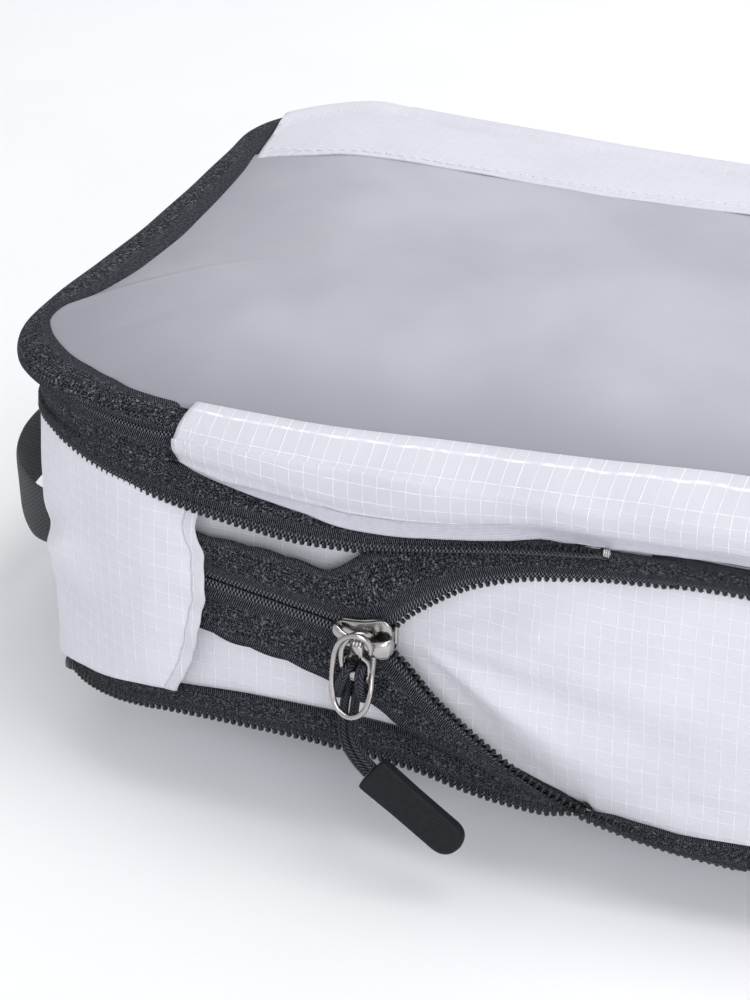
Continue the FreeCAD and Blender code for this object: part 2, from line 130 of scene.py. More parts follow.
def ease(x, knots):
    """A value that turns smoothly from knot to knot, given as (x, value)."""
    xs, ys = np.array(knots, float).T
    x = np.asarray(x, float)
    run = np.diff(ys) / np.diff(xs)
    slopes = np.zeros_like(ys)
    same = run[1:] * run[:-1] > 0
    slopes[1:-1][same] = 2 * run[1:][same] * run[:-1][same] / (run[1:] + run[:-1])[same]
    i = np.clip(np.searchsorted(xs, x, side="right") - 1, 0, len(xs) - 2)
    width = xs[i + 1] - xs[i]
    t = np.clip((x - xs[i]) / width, 0, 1)
    return ((2 * t ** 3 - 3 * t ** 2 + 1) * ys[i] + (t ** 3 - 2 * t ** 2 + t) * width * slopes[i]
            + (3 * t ** 2 - 2 * t ** 3) * ys[i + 1] + (t ** 3 - t ** 2) * width * slopes[i + 1])


def step(x, low, high):
    """A smooth rise from 0 at low to 1 at high."""
    t = np.clip((np.asarray(x, float) - low) / (high - low), 0, 1)
    return t * t * (3 - 2 * t)


def bump(x, middle, width):
    """A smooth hill of height 1 round middle."""
    return np.exp(-((np.asarray(x, float) - middle) / width) ** 2)


def ripple(x, y, size, seed):
    """Uneven waves of about that size, from -1 to 1, the same on every run."""
    draw = np.random.default_rng(seed)
    total = 0.0
    for _ in range(6):
        turn, phase = draw.uniform(0, math.pi), draw.uniform(0, 2 * math.pi)
        length = size * draw.uniform(0.7, 1.6)
        total = total + np.sin((x * math.cos(turn) + y * math.sin(turn)) * 2 * math.pi / length + phase)
    return total / 4.0


def run_along(line):
    """The distance from a line's first point to each of its points."""
    return np.concatenate([[0], np.cumsum(np.linalg.norm(np.diff(line, axis=0), axis=1))])


def read_off(at, run, values):
    """Rows of values, read off at distances along a line."""
    return np.stack([np.interp(at, run, values[:, k]) for k in range(values.shape[1])], axis=1)


def unit(rows):
    """Vectors brought to length 1, row by row."""
    return rows / np.linalg.norm(rows, axis=1)[:, None]


def squarish(wave, power):
    """A sine or cosine drawn out to its limits, for a section with rounded corners."""
    return np.sign(wave) * np.abs(wave) ** power


def resample(points, count):
    """count evenly spaced points on a smooth curve through the given ones."""
    pts = np.array(points, float)
    pts = np.vstack([2 * pts[0] - pts[1], pts, 2 * pts[-1] - pts[-2]])
    t = np.linspace(0, 1, 24, endpoint=False)[:, None]
    dense = [0.5 * (2 * b + (c - a) * t + (2 * a - 5 * b + 4 * c - d) * t ** 2
                    + (3 * b - a - 3 * c + d) * t ** 3)
             for a, b, c, d in zip(pts, pts[1:], pts[2:], pts[3:])]
    dense = np.vstack(dense + [pts[-2:-1]])
    run = run_along(dense)
    return read_off(np.linspace(0, run[-1], count), run, dense)


def nurbs(points, resolution=10):
    """Points read from the NURBS spline that has these control points."""
    data = bpy.data.curves.new("route", "CURVE")
    data.dimensions = "3D"
    data.resolution_u = resolution
    spline = data.splines.new("NURBS")
    spline.points.add(len(points) - 1)
    for made, point in zip(spline.points, points):
        made.co = (*point, 1.0)
    spline.order_u = 3
    spline.use_endpoint_u = True
    holder = bpy.data.objects.new("route", data)
    mesh = bpy.data.meshes.new_from_object(holder)
    line = np.array([v.co for v in mesh.vertices], float)
    bpy.data.objects.remove(holder)
    bpy.data.curves.remove(data)
    bpy.data.meshes.remove(mesh)
    return line


def frames(path):
    """Unit tangents and two side vectors that don't twist, along a path."""
    tangent = unit(np.gradient(path, axis=0))
    side = np.zeros_like(path)
    first = np.cross(tangent[0], (0.31, 0.17, 0.94))
    side[0] = first / np.linalg.norm(first)
    for k in range(1, len(path)):
        v = side[k - 1] - tangent[k] * (side[k - 1] @ tangent[k])
        side[k] = v / np.linalg.norm(v)
    return tangent, side, np.cross(tangent, side)


# ---- mesh pieces -------------------------------------------------------------------------------

class Pile:
    """Grids of points that together become one piece."""

    def __init__(self):
        self.points, self.quads, self.uvs, self.count = [], [], [], 0

    def grid(self, points, uv, closed=False):
        """points[i, j] and uv[i, j].  Closed, the last i joins the first, and uv has one more row."""
        rows, across = points.shape[:2]
        i, j = np.meshgrid(np.arange(rows if closed else rows - 1), np.arange(across - 1), indexing="ij")
        i, j = i.ravel(), j.ravel()
        after = (i + 1) % rows
        corners = ((i, j), (after, j), (after, j + 1), (i, j + 1))
        self.quads.append(np.stack([a * across + b for a, b in corners], axis=1) + self.count)
        self.uvs.append(np.stack([uv[i, j], uv[i + 1, j], uv[i + 1, j + 1], uv[i, j + 1]], axis=1))
        self.points.append(points.reshape(-1, 3))
        self.count += rows * across
        return self

    def tube(self, path, radius, sides=8):
        """A tube along a path; radius is a number, or one for each point."""
        _, side, up = frames(path)
        radius = np.broadcast_to(np.asarray(radius, float), (len(path),))
        angle = np.linspace(0, 2 * math.pi, sides, endpoint=False)[:, None, None]
        ring = path[None] + radius[None, :, None] * (np.cos(angle) * side + np.sin(angle) * up)
        run = run_along(path)
        girth = np.linspace(0, 2 * math.pi, sides + 1)[:, None] * radius
        return self.grid(ring, np.stack([np.broadcast_to(run, girth.shape), girth], axis=-1), closed=True)

    def piece(self, name, material, slot, thick=0.0, cap=False, merge=0.0, subdivide=0, cuts=(), outside=True,
              bevel=0.0):
        mesh = bpy.data.meshes.new(name)
        mesh.from_pydata((np.vstack(self.points) * MM).tolist(), [], np.vstack(self.quads).tolist())
        layer = mesh.uv_layers.new(name="UVMap")
        layer.data.foreach_set("uv", (np.vstack(self.uvs).reshape(-1, 2) * MM).ravel())
        made = bpy.data.objects.new(name, mesh)
        bpy.context.scene.collection.objects.link(made)
        if cap or merge or cuts or not outside:
            clean(mesh, cap, merge, cuts, outside)
        mesh.polygons.foreach_set("use_smooth", [True] * len(mesh.polygons))
        mesh.materials.append(material)
        if subdivide:
            add_modifier(made, "SUBSURF", levels=subdivide, render_levels=subdivide)
        if thick:
            add_modifier(made, "SOLIDIFY", thickness=thick * MM, offset=-1.0)
        if bevel:
            add_modifier(made, "BEVEL", width=bevel * MM, segments=2)
        return made


def add_modifier(piece, kind, **settings):
    made = piece.modifiers.new(kind.lower(), kind)
    for key, value in settings.items():
        setattr(made, key, value)


def clean(mesh, cap, merge, cuts, outside):
    """Welds, cuts, closes and turns outwards the faces of a mesh."""
    bm = bmesh.new()
    bm.from_mesh(mesh)
    if merge:
        bmesh.ops.remove_doubles(bm, verts=bm.verts, dist=merge * MM)
    for point, normal in cuts:
        bmesh.ops.bisect_plane(bm, geom=bm.verts[:] + bm.edges[:] + bm.faces[:], clear_outer=True,
                               plane_co=Vector(point) * MM, plane_no=Vector(normal))
    if cap:
        bmesh.ops.holes_fill(bm, edges=[e for e in bm.edges if e.is_boundary], sides=0)
    if cap or not outside:
        bmesh.ops.recalc_face_normals(bm, faces=bm.faces)
    bm.to_mesh(mesh)
    bm.free()


# ---- how the soft body has settled -------------------------------------------------------------

# Round the plan as (s, millimetres): how far the body and the lid have bowed in, and the lid's edge dropped
BODY_IN = ((-432, 0), (-360, 0), (-330, 3.0), (-300, 8.0), (-274, 10.0), (-243, 10.4), (-213, 10.2),
           (-190, 9.6), (-170, 8.6), (-155, 7.6), (-145, 7.0), (-130, 6.9), (-120, 6.6), (-110, 5.2),
           (-100, 2.2), (-92, 0.3), (-85, 0), (150, 0), (185, 1.5), (225, 2.4), (275, 1.4), (330, 0),
           (432, 0))
LID_IN = ((-432, 0), (-360, 0), (-330, 1.8), (-300, 7.2), (-274, 8.3), (-243, 8.7), (-213, 8.1), (-188, 5.7),
          (-175, 4.2), (-162, 2.6), (-150, 1.5), (-140, 1.5), (-128, 2.2), (-118, 3.4), (-109, 4.2),
          (-100, 2.6), (-92, 1.2), (-80, 0.5), (150, 0), (185, 1.8), (225, 3.0), (275, 1.6), (330, 0),
          (432, 0))
LID_DROP = ((-432, 4.2), (-400, 3.9), (-375, 3.1), (-354, 2.4), (-337, 1.2), (-326, 0.2), (-312, 0.5),
            (-298, 0.6), (-284, 0.5), (-262, 0.5), (-215, 0.6), (-175, 1.2), (-160, 2.2), (-148, 3.0),
            (-130, 3.8), (-110, 4.8), (-92, 5.2), (-60, 5.2), (-25, 4.2), (8, 3.0), (40, 1.5), (80, 0.8),
            (110, 0.5), (150, 0.5), (200, 1.2), (250, 1.4), (330, 2.0), (400, 3.9), (432, 4.2))
BOTTOM_IN = ((-432, 0), (-330, 0), (-290, 1.5), (-200, 1.8), (-150, 0.8), (-137, 0.4), (-122, 0.1), (-110, 0),
             (432, 0))


def settle(s, z):
    """How far the cloth has bowed in, and dropped, at s round the plan and height z."""
    at = wrapped(s)
    body, lid = ease(at, BODY_IN), ease(at, LID_IN)
    body = body * (1 - 0.10 * step(z, 60.0, 82.0) + 0.16 * bump(z, 46.0, 13.0))
    body = body + ease(at, BOTTOM_IN) * (1 - step(z, 26.0, 46.0))
    inward = body + (lid - body) * step(z, CHAIN - 3.0, CHAIN + 3.0)
    return inward, ease(at, LID_DROP) * step(z, CHAIN - 1.5, CHAIN + 5.0)


def place(s, offset, z):
    """Points at s round the plan, offset outwards, at height z, on the settled cube."""
    s, offset, z = np.broadcast_arrays(np.asarray(s, float), offset, z)
    inward, drop = settle(s, z)
    point, normal = rim(s.ravel())
    xy = point + normal * (offset - inward).reshape(-1, 1)
    return np.concatenate([xy, (z - drop).reshape(-1, 1)], axis=1).reshape(s.shape + (3,))


def band(pile, s, offset, z, across, closed=False):
    """Adds a band round the plan: rows of s, offset, z and the distance across it, as (columns, rows)."""
    s, offset, z, across = np.broadcast_arrays(s, offset, z, across)
    uv = np.stack([s, across], axis=-1)
    if closed:
        uv = np.concatenate([uv, uv[:1] + np.array([ROUND, 0.0])])
    return pile.grid(place(s, offset, z), uv, closed)


def columns(start, end, closed=False, pitch=STEP):
    """Where a band's columns stand, evenly from start to end."""
    count = max(3, int(round((end - start) / pitch)))
    return np.linspace(start, end, count, endpoint=not closed)[:, None]


def gusset_offset(s, z):
    """The gusset's outside: it is pinched at the slider, and swells and creases in the opened zip."""
    at = wrapped(s)
    share = np.clip((z - LOWER_SEAM) / (UPPER_SEAM - LOWER_SEAM), 0, 1)
    base = -1.2 + 1.0 * share
    dx, dz = at - (SLIDER[0] + 7.0), z - (SLIDER[2] - 1.0)
    reach = np.hypot(dx, dz)
    angle = np.degrees(np.arctan2(dz, np.maximum(dx, 0.01)))
    open_side = step(dx, 0.0, 8.0)
    swell = np.sin(math.pi * share) ** 0.8 * step(at, -30.0, 20.0) * (1 - step(at, 66.0, 88.0))
    fan = (1.0 * bump(angle, -29, 7.5) - 1.1 * bump(angle, -43, 8.0) - 0.7 * bump(angle, -12, 6.0)
           + 0.5 * bump(angle, -2, 6.5) + 0.7 * bump(angle, 14, 8.0) - 0.6 * bump(angle, 27, 8.0))
    fade = np.minimum(reach / 26.0, 1.0) * np.exp(-np.maximum(reach - 26.0, 0.0) / 46.0)
    elsewhere = step(np.abs(at), 95.0, 140.0)
    slack = (0.35 + 0.75 * elsewhere) * np.sin(math.pi * share)
    waves = slack * ripple(at, z * 1.6, 38.0, 5) + 0.10 * ripple(at, z, 15.0, 6) * np.sin(math.pi * share)
    soft = 1.6 * elsewhere * np.sin(math.pi * share)
    near_slider = 1 - 0.9 * step(16.0 - np.abs(at - SLIDER[0]), 0.0, 12.0)
    return base + 2.9 * swell + 1.5 * fan * fade * open_side + (waves + soft) * near_slider


def upper_lift(at):
    """How far the upper half of the compression zip stands off where it lies over the zip's start."""
    return ease(at, ((-432, 0.9), (-140, 1.3), (-100, 1.8), (-88, 3.2), (-78, 4.4), (-45, 4.2), (10, 4.0),
                     (15, 3.4)))


def upper_coil_z(at):
    """The lower edge of the upper tape, from the zip's start round to its overlapping end."""
    return ease(at, ((0, 85.8), (14, 86.6), (45, 88.6), (85, 86.5), (130, 83.0), (170, 81.5),
                     (ROUND - 280, 81.5), (ROUND - 215, 82.0), (ROUND - 170, 84.0), (ROUND - 150, 87.0),
                     (ROUND - 138, 89.4), (ROUND - 130, 89.8), (ROUND - 124, 89.2), (ROUND - 112, 87.6),
                     (ROUND - 100, 86.6), (ROUND - 80, 84.8), (ROUND - 68, 83.3), (ROUND - 56, 82.2),
                     (ROUND - 44, 82.6), (ROUND - 25, 85.6), (ROUND - 8, 89.0), (ROUND + 7, 91.4),
                     (ROUND + 14, 92.2)))


def lower_coil_z(at):
    """The lower edge of the lower tape, which hangs below its seam."""
    return ease(at, ((44, 18.7), (50, 18.4), (90, 18.8), (150, 21.6), (ROUND - 240, 21.6),
                     (ROUND - 200, 18.6), (ROUND - 170, 15.6), (ROUND - 148, 15.2), (ROUND - 134, 20.2),
                     (ROUND - 127, 22.9), (ROUND - 120, 23.2), (ROUND - 110, 24.2), (ROUND - 98, 26.3),
                     (ROUND - 90, 27.6), (ROUND - 78, 27.9), (ROUND - 62, 27.9), (ROUND - 48, 27.4),
                     (ROUND - 30, 26.0), (ROUND - 15, 22.9), (ROUND - 8, 21.9), (ROUND + 2, 21.2),
                     (ROUND + 8, 22.3), (ROUND + 14, 23.3)))


def lower_seam_z(at):
    """Where the wall's cloth ends and the lower tape comes out from under it."""
    return ease(wrapped(at), ((-432, 32), (-250, 31), (-200, 27.6), (-170, 22.8), (-148, 20.8), (-137, 23.2),
                              (-128, 26.0), (-120, 27.7), (-108, 29.5), (-100, 31.6), (-92, 33.2),
                              (-84, 33.9), (-70, 34.8), (-50, 35.2), (-30, 34.4), (-8, 29.6), (2, 26.0),
                              (12, 23.2), (20, 21.4), (30, 20.1), (38, 19.6), (48, 20.6), (60, 22.4),
                              (80, 26.5), (110, 29.8), (200, 31.6), (432, 32)))


def lid_inset(s):
    """How far in from its own outside edge the lid's zip band reaches."""
    return ease(wrapped(s), ((-432, 10.5), (-330, 9.4), (-300, 7.7), (-285, 7.9), (-262, 8.9), (-248, 10.4),
                             (-235, 11.2), (-216, 12.0), (-202, 12.8), (-186, 13.0), (-172, 11.6),
                             (-166, 9.6), (-160, 6.4), (-154, 6.0), (-146, 7.2), (-135, 9.0), (-122, 9.4),
                             (-112, 8.2), (-100, 7.0), (-85, 6.8), (-60, 6.6), (-25, 8.2), (8, 9.6),
                             (39, 11), (432, 11)))


# ---- materials ---------------------------------------------------------------------------------

def feed(tree, socket, value):
    """Links a socket into an input, or sets the input's value."""
    if isinstance(value, bpy.types.NodeSocket):
        tree.links.new(value, socket)
    else:
        socket.default_value = value


def node(tree, kind, inputs=(), **settings):
    """A shader node with its inputs and settings."""
    made = tree.nodes.new("ShaderNode" + kind)
    for key, value in settings.items():
        setattr(made, key, value)
    for key, value in dict(inputs).items():
        feed(tree, made.inputs[key], value)
    return made


def maths(tree, operation, *values):
    """A maths node on sockets or numbers."""
    return node(tree, "Math", enumerate(values), operation=operation).outputs[0]


def times(tree, first, second):
    return maths(tree, "MULTIPLY", first, second)


def sine(tree, value, rate):
    return maths(tree, "SINE", times(tree, value, rate))


def span(tree, value, low, high, to_low=0.0, to_high=1.0):
    """A smooth map of value from low..high to to_low..to_high."""
    inputs = {"Value": value, "From Min": low, "From Max": high, "To Min": to_low, "To Max": to_high}
    return node(tree, "MapRange", inputs, interpolation_type="SMOOTHSTEP").outputs[0]


def mix(tree, factor, *colours):
    """Two colours mixed, each of them a tuple or a socket."""
    first, second = ((*c, 1) if isinstance(c, tuple) else c for c in colours)
    return node(tree, "Mix", {0: factor, 6: first, 7: second}, data_type="RGBA").outputs[2]


def mix_heights(tree, factor, first, second):
    return node(tree, "Mix", {0: factor, 2: first, 3: second}, data_type="FLOAT").outputs[0]


def noise(tree, vector, scale, detail=2.0):
    return node(tree, "TexNoise", {"Vector": vector, "Scale": scale, "Detail": detail}).outputs[0]


def relief(tree, height, depth, normal=None):
    """A bump whose height of 1 is depth millimetres."""
    made = node(tree, "Bump", {"Height": height, "Distance": depth * MM, "Strength": 1.0})
    if normal:
        feed(tree, made.inputs["Normal"], normal)
    return made.outputs[0]


def on_cloth(tree):
    """The piece's own UV in millimetres: the vector, along it and across it."""
    own = node(tree, "UVMap", uv_map="UVMap").outputs[0]
    scaled = node(tree, "VectorMath", {0: own, 3: 1 / MM}, operation="SCALE")
    parts = node(tree, "SeparateXYZ", {0: scaled.outputs[0]})
    return scaled.outputs[0], parts.outputs[0], parts.outputs[1]


def in_space(tree):
    """The piece's own space in millimetres."""
    return node(tree, "VectorMath", {0: node(tree, "TexCoord").outputs["Object"], 3: 1 / MM},
                operation="SCALE").outputs[0]


def new_material(name, roughness, **values):
    material = bpy.data.materials.new(name)
    material.use_nodes = True
    tree = material.node_tree
    shader = tree.nodes["Principled BSDF"]
    shader.inputs["Roughness"].default_value = roughness
    for key, value in values.items():
        shader.inputs[key.replace("_", " ")].default_value = value
    return material, tree, shader


def finish_material(tree, shader, colour, normal, roughness=None):
    feed(tree, shader.inputs["Base Color"], colour)
    feed(tree, shader.inputs["Normal"], normal)
    if roughness is not None:
        feed(tree, shader.inputs["Roughness"], roughness)


def ripstop(name, base, line, crinkle=1.0, pitch=3.5):
    """White nylon with a raised square grid of heavier threads."""
    material, tree, shader = new_material(name, 0.5, Sheen_Weight=0.25, Specular_IOR_Level=0.4)
    shader.inputs["Sheen Roughness"].default_value = 0.4
    vector, u, v = on_cloth(tree)
    wobble = maths(tree, "MULTIPLY_ADD", noise(tree, vector, 0.12), 0.5, -0.25)
    lines = []
    for across in (maths(tree, "ADD", u, wobble), maths(tree, "ADD", v, wobble)):
        apart = maths(tree, "PINGPONG", across, pitch / 2)
        lines.append(span(tree, apart, 0.06, 0.18, 1.0, 0.0))
    grid = maths(tree, "MAXIMUM", *lines)
    uneven = span(tree, noise(tree, vector, 0.35, 3.0), 0.35, 0.65, 0.25, 1.0)
    grid = times(tree, grid, uneven)
    weave = times(tree, sine(tree, u, 16.0), sine(tree, v, 16.0))
    cloud = span(tree, noise(tree, vector, 0.035, 3.0), 0.3, 0.7, 0.0, 1.0)
    ground = mix(tree, cloud, tuple(c * 0.94 for c in base), base)
    fine = mix(tree, maths(tree, "MULTIPLY_ADD", weave, 0.05, 0.05), ground, line)
    colour = mix(tree, grid, fine, line)
    small_folds = times(tree, noise(tree, vector, 0.3, 3.0), 0.3)
    folds = maths(tree, "ADD", noise(tree, vector, 0.09, 4.0), small_folds)
    normal = relief(tree, folds, 0.55 * crinkle)
    normal = relief(tree, maths(tree, "MULTIPLY_ADD", weave, 0.12, grid), 0.07, normal)
    finish_material(tree, shader, colour, normal)
    return material


def curls(tree, vector, scale, wide):
    """Curly lines, such as the loops of a rough yarn."""
    ridge = maths(tree, "ABSOLUTE", maths(tree, "SUBTRACT", noise(tree, vector, scale, 1.0), 0.5))
    return span(tree, ridge, 0.0, wide, 1.0, 0.0)


def zip_tape(name):
    """Black knitted tape: a looped edge by the coil, then ribs, then a rough looped middle, then ribs."""
    material, tree, shader = new_material(name, 0.75, Specular_IOR_Level=0.12)
    vector, u, v = on_cloth(tree)
    rough = times(tree, span(tree, v, 3.2, 4.4), span(tree, v, 9.6, 11.2, 1.0, 0.0))
    loops = span(tree, v, 1.3, 1.9, 1.0, 0.0)
    curly = maths(tree, "MAXIMUM", curls(tree, vector, 1.05, 0.05), curls(tree, vector, 1.7, 0.042))
    slant = maths(tree, "MULTIPLY_ADD", u, 12.5, times(tree, v, 5.0))
    ribs = span(tree, maths(tree, "SINE", slant), -0.3, 1.0)
    ribs = times(tree, ribs, span(tree, noise(tree, vector, 1.8), 0.35, 0.6, 0.25, 1.0))
    rows = times(tree, sine(tree, u, 3.59 * 2), sine(tree, v, 4.2))
    height = mix_heights(tree, rough, ribs, curly)
    height = mix_heights(tree, loops, height, span(tree, rows, -0.5, 0.8))
    # The colour follows the relief: the raised loops and ribs are painted lighter than the black ground, as
    # painted highlight on the thread tops.
    colour = mix(tree, height, (0.0022, 0.0026, 0.0034), (0.165, 0.18, 0.212))
    finish_material(tree, shader, colour, relief(tree, height, 0.35))
    return material


def woven_webbing(name):
    """Black webbing with a plain weave."""
    material, tree, shader = new_material(name, 0.7, Sheen_Weight=0.1, Specular_IOR_Level=0.35)
    vector, u, v = on_cloth(tree)
    weave = times(tree, sine(tree, u, 3.6), sine(tree, v, 5.2))
    fibres = noise(tree, vector, 3.5, 3.0)
    height = maths(tree, "MULTIPLY_ADD", weave, 0.35, fibres)
    colour = mix(tree, span(tree, height, 0.2, 0.9), (0.006, 0.0065, 0.009), (0.052, 0.056, 0.067))
    finish_material(tree, shader, colour, relief(tree, height, 0.35))
    return material


def black_nylon(name, roughness, low, high, depth):
    """Moulded or drawn black nylon, such as the coils, with a fine uneven gloss."""
    material, tree, shader = new_material(name, roughness, Specular_IOR_Level=0.4)
    space = in_space(tree)
    grain = noise(tree, space, 1.6, 3.0)
    colour = mix(tree, grain, (low, low * 1.1, low * 1.5), (high, high * 1.1, high * 1.4))
    finish_material(tree, shader, colour, relief(tree, grain, depth),
                    span(tree, noise(tree, space, 0.7), 0.3, 0.7, roughness * 0.8, roughness * 1.35))
    return material


def rubber(name, pitch=0.62):
    """Soft black rubber with a fine raised square grid on its faces."""
    material, tree, shader = new_material(name, 0.62, Specular_IOR_Level=0.2)
    vector, u, v = on_cloth(tree)
    bars = [span(tree, maths(tree, "PINGPONG", c, pitch / 2), 0.06, 0.2, 0.0, 1.0) for c in (u, v)]
    flat = span(tree, maths(tree, "ABSOLUTE", v), 3.4, 4.0, 1.0, 0.0)
    grid = times(tree, times(tree, *bars), flat)
    dust = noise(tree, vector, 0.8, 4.0)
    colour = mix(tree, maths(tree, "MULTIPLY_ADD", dust, 0.5, times(tree, grid, 0.5)),
                 (0.004, 0.0045, 0.006), (0.02, 0.0215, 0.027))
    finish_material(tree, shader, colour, relief(tree, grid, 0.14))
    return material


def braid(name, girth):
    """A braided cord: chevrons round it."""
    material, tree, shader = new_material(name, 0.65, Specular_IOR_Level=0.25)
    _, u, v = on_cloth(tree)
    lean = maths(tree, "PINGPONG", v, girth / 4)
    strand = sine(tree, maths(tree, "ADD", u, times(tree, lean, 1.1)), 6.6)
    column = span(tree, maths(tree, "PINGPONG", v, girth / 8), 0.0, 0.28)
    height = times(tree, span(tree, strand, -0.9, 0.7), column)
    colour = mix(tree, height, (0.004, 0.0045, 0.0065), (0.058, 0.063, 0.078))
    finish_material(tree, shader, colour, relief(tree, height, 0.32))
    return material


def metal(name):
    """Polished gunmetal with faint draw lines and duller rubbed patches."""
    material, tree, shader = new_material(name, 0.18, Metallic=1.0)
    space = in_space(tree)
    patches = noise(tree, space, 0.35, 4.0)
    scratches = noise(tree, space, 4.5, 2.0)
    colour = mix(tree, patches, (0.30, 0.285, 0.28), (0.56, 0.54, 0.53))
    finish_material(tree, shader, colour, relief(tree, scratches, 0.015),
                    span(tree, patches, 0.3, 0.7, 0.10, 0.27))
    return material


def film(name):
    """Frosted plastic film: cloudy and softly glossy. Its cool grey tint is partly the film's own frost and
    partly painted shade of the empty inside seen through it, and its darkening by the near and left seams is
    painted shade.
    """
    material, tree, shader = new_material(name, 0.36, Transmission_Weight=0.22, IOR=1.45, Coat_Weight=0.25)
    shader.inputs["Coat Roughness"].default_value = 0.3
    vector, u, v = on_cloth(tree)
    cloud = span(tree, noise(tree, vector, 0.016, 3.0), 0.3, 0.7)
    frost = noise(tree, vector, 2.6, 3.0)
    # The cool grey tint: partly the film's own frosted grey, partly painted shade of the shaded inside seen
    # through it.
    tint = mix(tree, cloud, (0.41, 0.418, 0.465), (0.52, 0.525, 0.575))
    # Painted shade: the film is darkened along its near and left seams.
    seam = times(tree, span(tree, v, 1 - HALF_Y, 38 - HALF_Y), span(tree, u, 6 - HALF_X, 60 - HALF_X))
    tint = mix(tree, seam, (0.29, 0.295, 0.34), tint)
    colour = mix(tree, times(tree, frost, 0.12), tint, (0.66, 0.66, 0.70))
    folds = maths(tree, "ADD", noise(tree, vector, 0.03, 3.0), times(tree, frost, 0.004))
    finish_material(tree, shader, colour, relief(tree, folds, 0.9),
                    span(tree, noise(tree, vector, 0.05, 2.0), 0.3, 0.7, 0.30, 0.42))
    return material


def thread(name, dark, light):
    """Twisted sewing thread, between two colours."""
    material, tree, shader = new_material(name, 0.6, Sheen_Weight=0.3)
    twist = noise(tree, in_space(tree), 5.0, 2.0)
    finish_material(tree, shader, mix(tree, twist, dark, light), relief(tree, twist, 0.12))
    return material


def satin(name, dark, light):
    """Smooth ribbed tape."""
    material, tree, shader = new_material(name, 0.45, Sheen_Weight=0.2)
    vector, _, v = on_cloth(tree)
    ribs = sine(tree, v, 12.0)
    height = maths(tree, "MULTIPLY_ADD", ribs, 0.3, noise(tree, vector, 0.6, 3.0))
    finish_material(tree, shader, mix(tree, height, dark, light), relief(tree, height, 0.08))
    return material


WHITE = ripstop("ripstop_white", (0.66, 0.655, 0.715), (0.80, 0.795, 0.845))
WHITE_STRIP = ripstop("ripstop_strip", (0.58, 0.575, 0.63), (0.80, 0.795, 0.84), 0.6, 3.4)
WHITE_LABEL = ripstop("ripstop_label", (0.60, 0.595, 0.655), (0.70, 0.695, 0.75), 0.9, 3.4)
# Painted shade: a darker grey satin for the underside of the hinge strip's turned-in lower edge, which is the
# same white cloth lying in shade.
FOLD_SHADE_SATIN = satin("seam_fold_shade", (0.43, 0.435, 0.50), (0.56, 0.56, 0.62))
TAPE = zip_tape("zip_tape")
COIL = black_nylon("zip_coil", 0.16, 0.002, 0.005, 0.02)
WEBBING = woven_webbing("webbing")
METAL = metal("gunmetal")
FILM = film("frosted_film")
RUBBER = rubber("rubber")
CORD = braid("cord", math.pi * 2.2)
WHITE_THREAD = thread("thread_white", (0.62, 0.62, 0.68), (0.9, 0.9, 0.94))
BLACK_THREAD = thread("thread_black", (0.008, 0.008, 0.01), (0.05, 0.052, 0.06))
LABEL = satin("label_satin", (0.62, 0.62, 0.66), (0.85, 0.85, 0.88))
BINDING = satin("binding_tape", (0.012, 0.012, 0.015), (0.05, 0.052, 0.06))


# ---- cloth -------------------------------------------------------------------------------------

# A stitch's height over the cloth at its five points
STITCH_DIP = np.array([-0.22, 0.02, 0.08, 0.02, -0.22])[:, None]


def stitches(name, line, outward, length, gap, radius):
    """A row of stitches along a line, each a short thread that dips at both ends."""
    run = run_along(line)
    pile = Pile()
    for k in range(int(run[-1] / (length + gap))):
        at = k * (length + gap) + np.linspace(0, length, 5)
        pile.tube(read_off(at, run, line) + read_off(at, run, outward) * STITCH_DIP, radius, 5)
    return pile.piece(name, WHITE_THREAD, "thread", cap=True)


def fixed(piece, body, *nodes):
    """A piece that rides on one body, in place of CAD nodes."""
    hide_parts(*nodes)
    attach(piece, body)


def squash(piece):
    """Attaches a piece of the gusset to the base, with a mesh of its own."""
    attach(piece, "base")
    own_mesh(piece)


def gusset():
    """The side wall all round.  Its lowest rows tuck in behind the lower tape."""
    s = columns(0, ROUND, closed=True)
    seam = lower_seam_z(s)
    tucked = np.array([[-6.5, -3.5], [-3.0, -3.0], [-1.0, -2.0], [-0.35, -0.9]])
    share = np.linspace(0, 1, 46)[None]
    wall = seam + (UPPER_SEAM + 0.6 - seam) * share
    z = np.concatenate([seam + tucked[:, 0], wall], axis=1)
    curl = np.concatenate([np.broadcast_to(tucked[:, 1], (len(s), 4)), 0 * wall], axis=1)
    pile = band(Pile(), s, gusset_offset(s, z) + curl, z, z * 1.03, closed=True)
    made = pile.piece("gusset_cloth", WHITE, "ripstop", thick=0.35)
    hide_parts("gusset_lower_wall", "gusset_upper_wall")
    squash(made)


FLAP_HEM = resample(((20, -90.0), (29, -88.6), (35.5, -86.6), (40, -84.2), (45.1, -82.3), (51.2, -80.6),
                     (57, -79.6), (62.7, -78.3), (68.1, -78.7), (73.4, -78.9), (76.5, -79.9), (79.5, -81.0),
                     (82.5, -80.4), (86, -79.8), (96, -80.5)), 300)


def hem_x(z):
    """The flap's free edge, which has gone wavy along its stitching."""
    return np.interp(z, FLAP_HEM[:, 0], FLAP_HEM[:, 1]) + 0.12 * np.sin(z * 1.05)


def flap_top(s):
    """The flap's upper edge, behind the upper coil all along."""
    return np.maximum(86.5, upper_coil_z(ROUND + np.minimum(s, -80.0)) + 2.4)


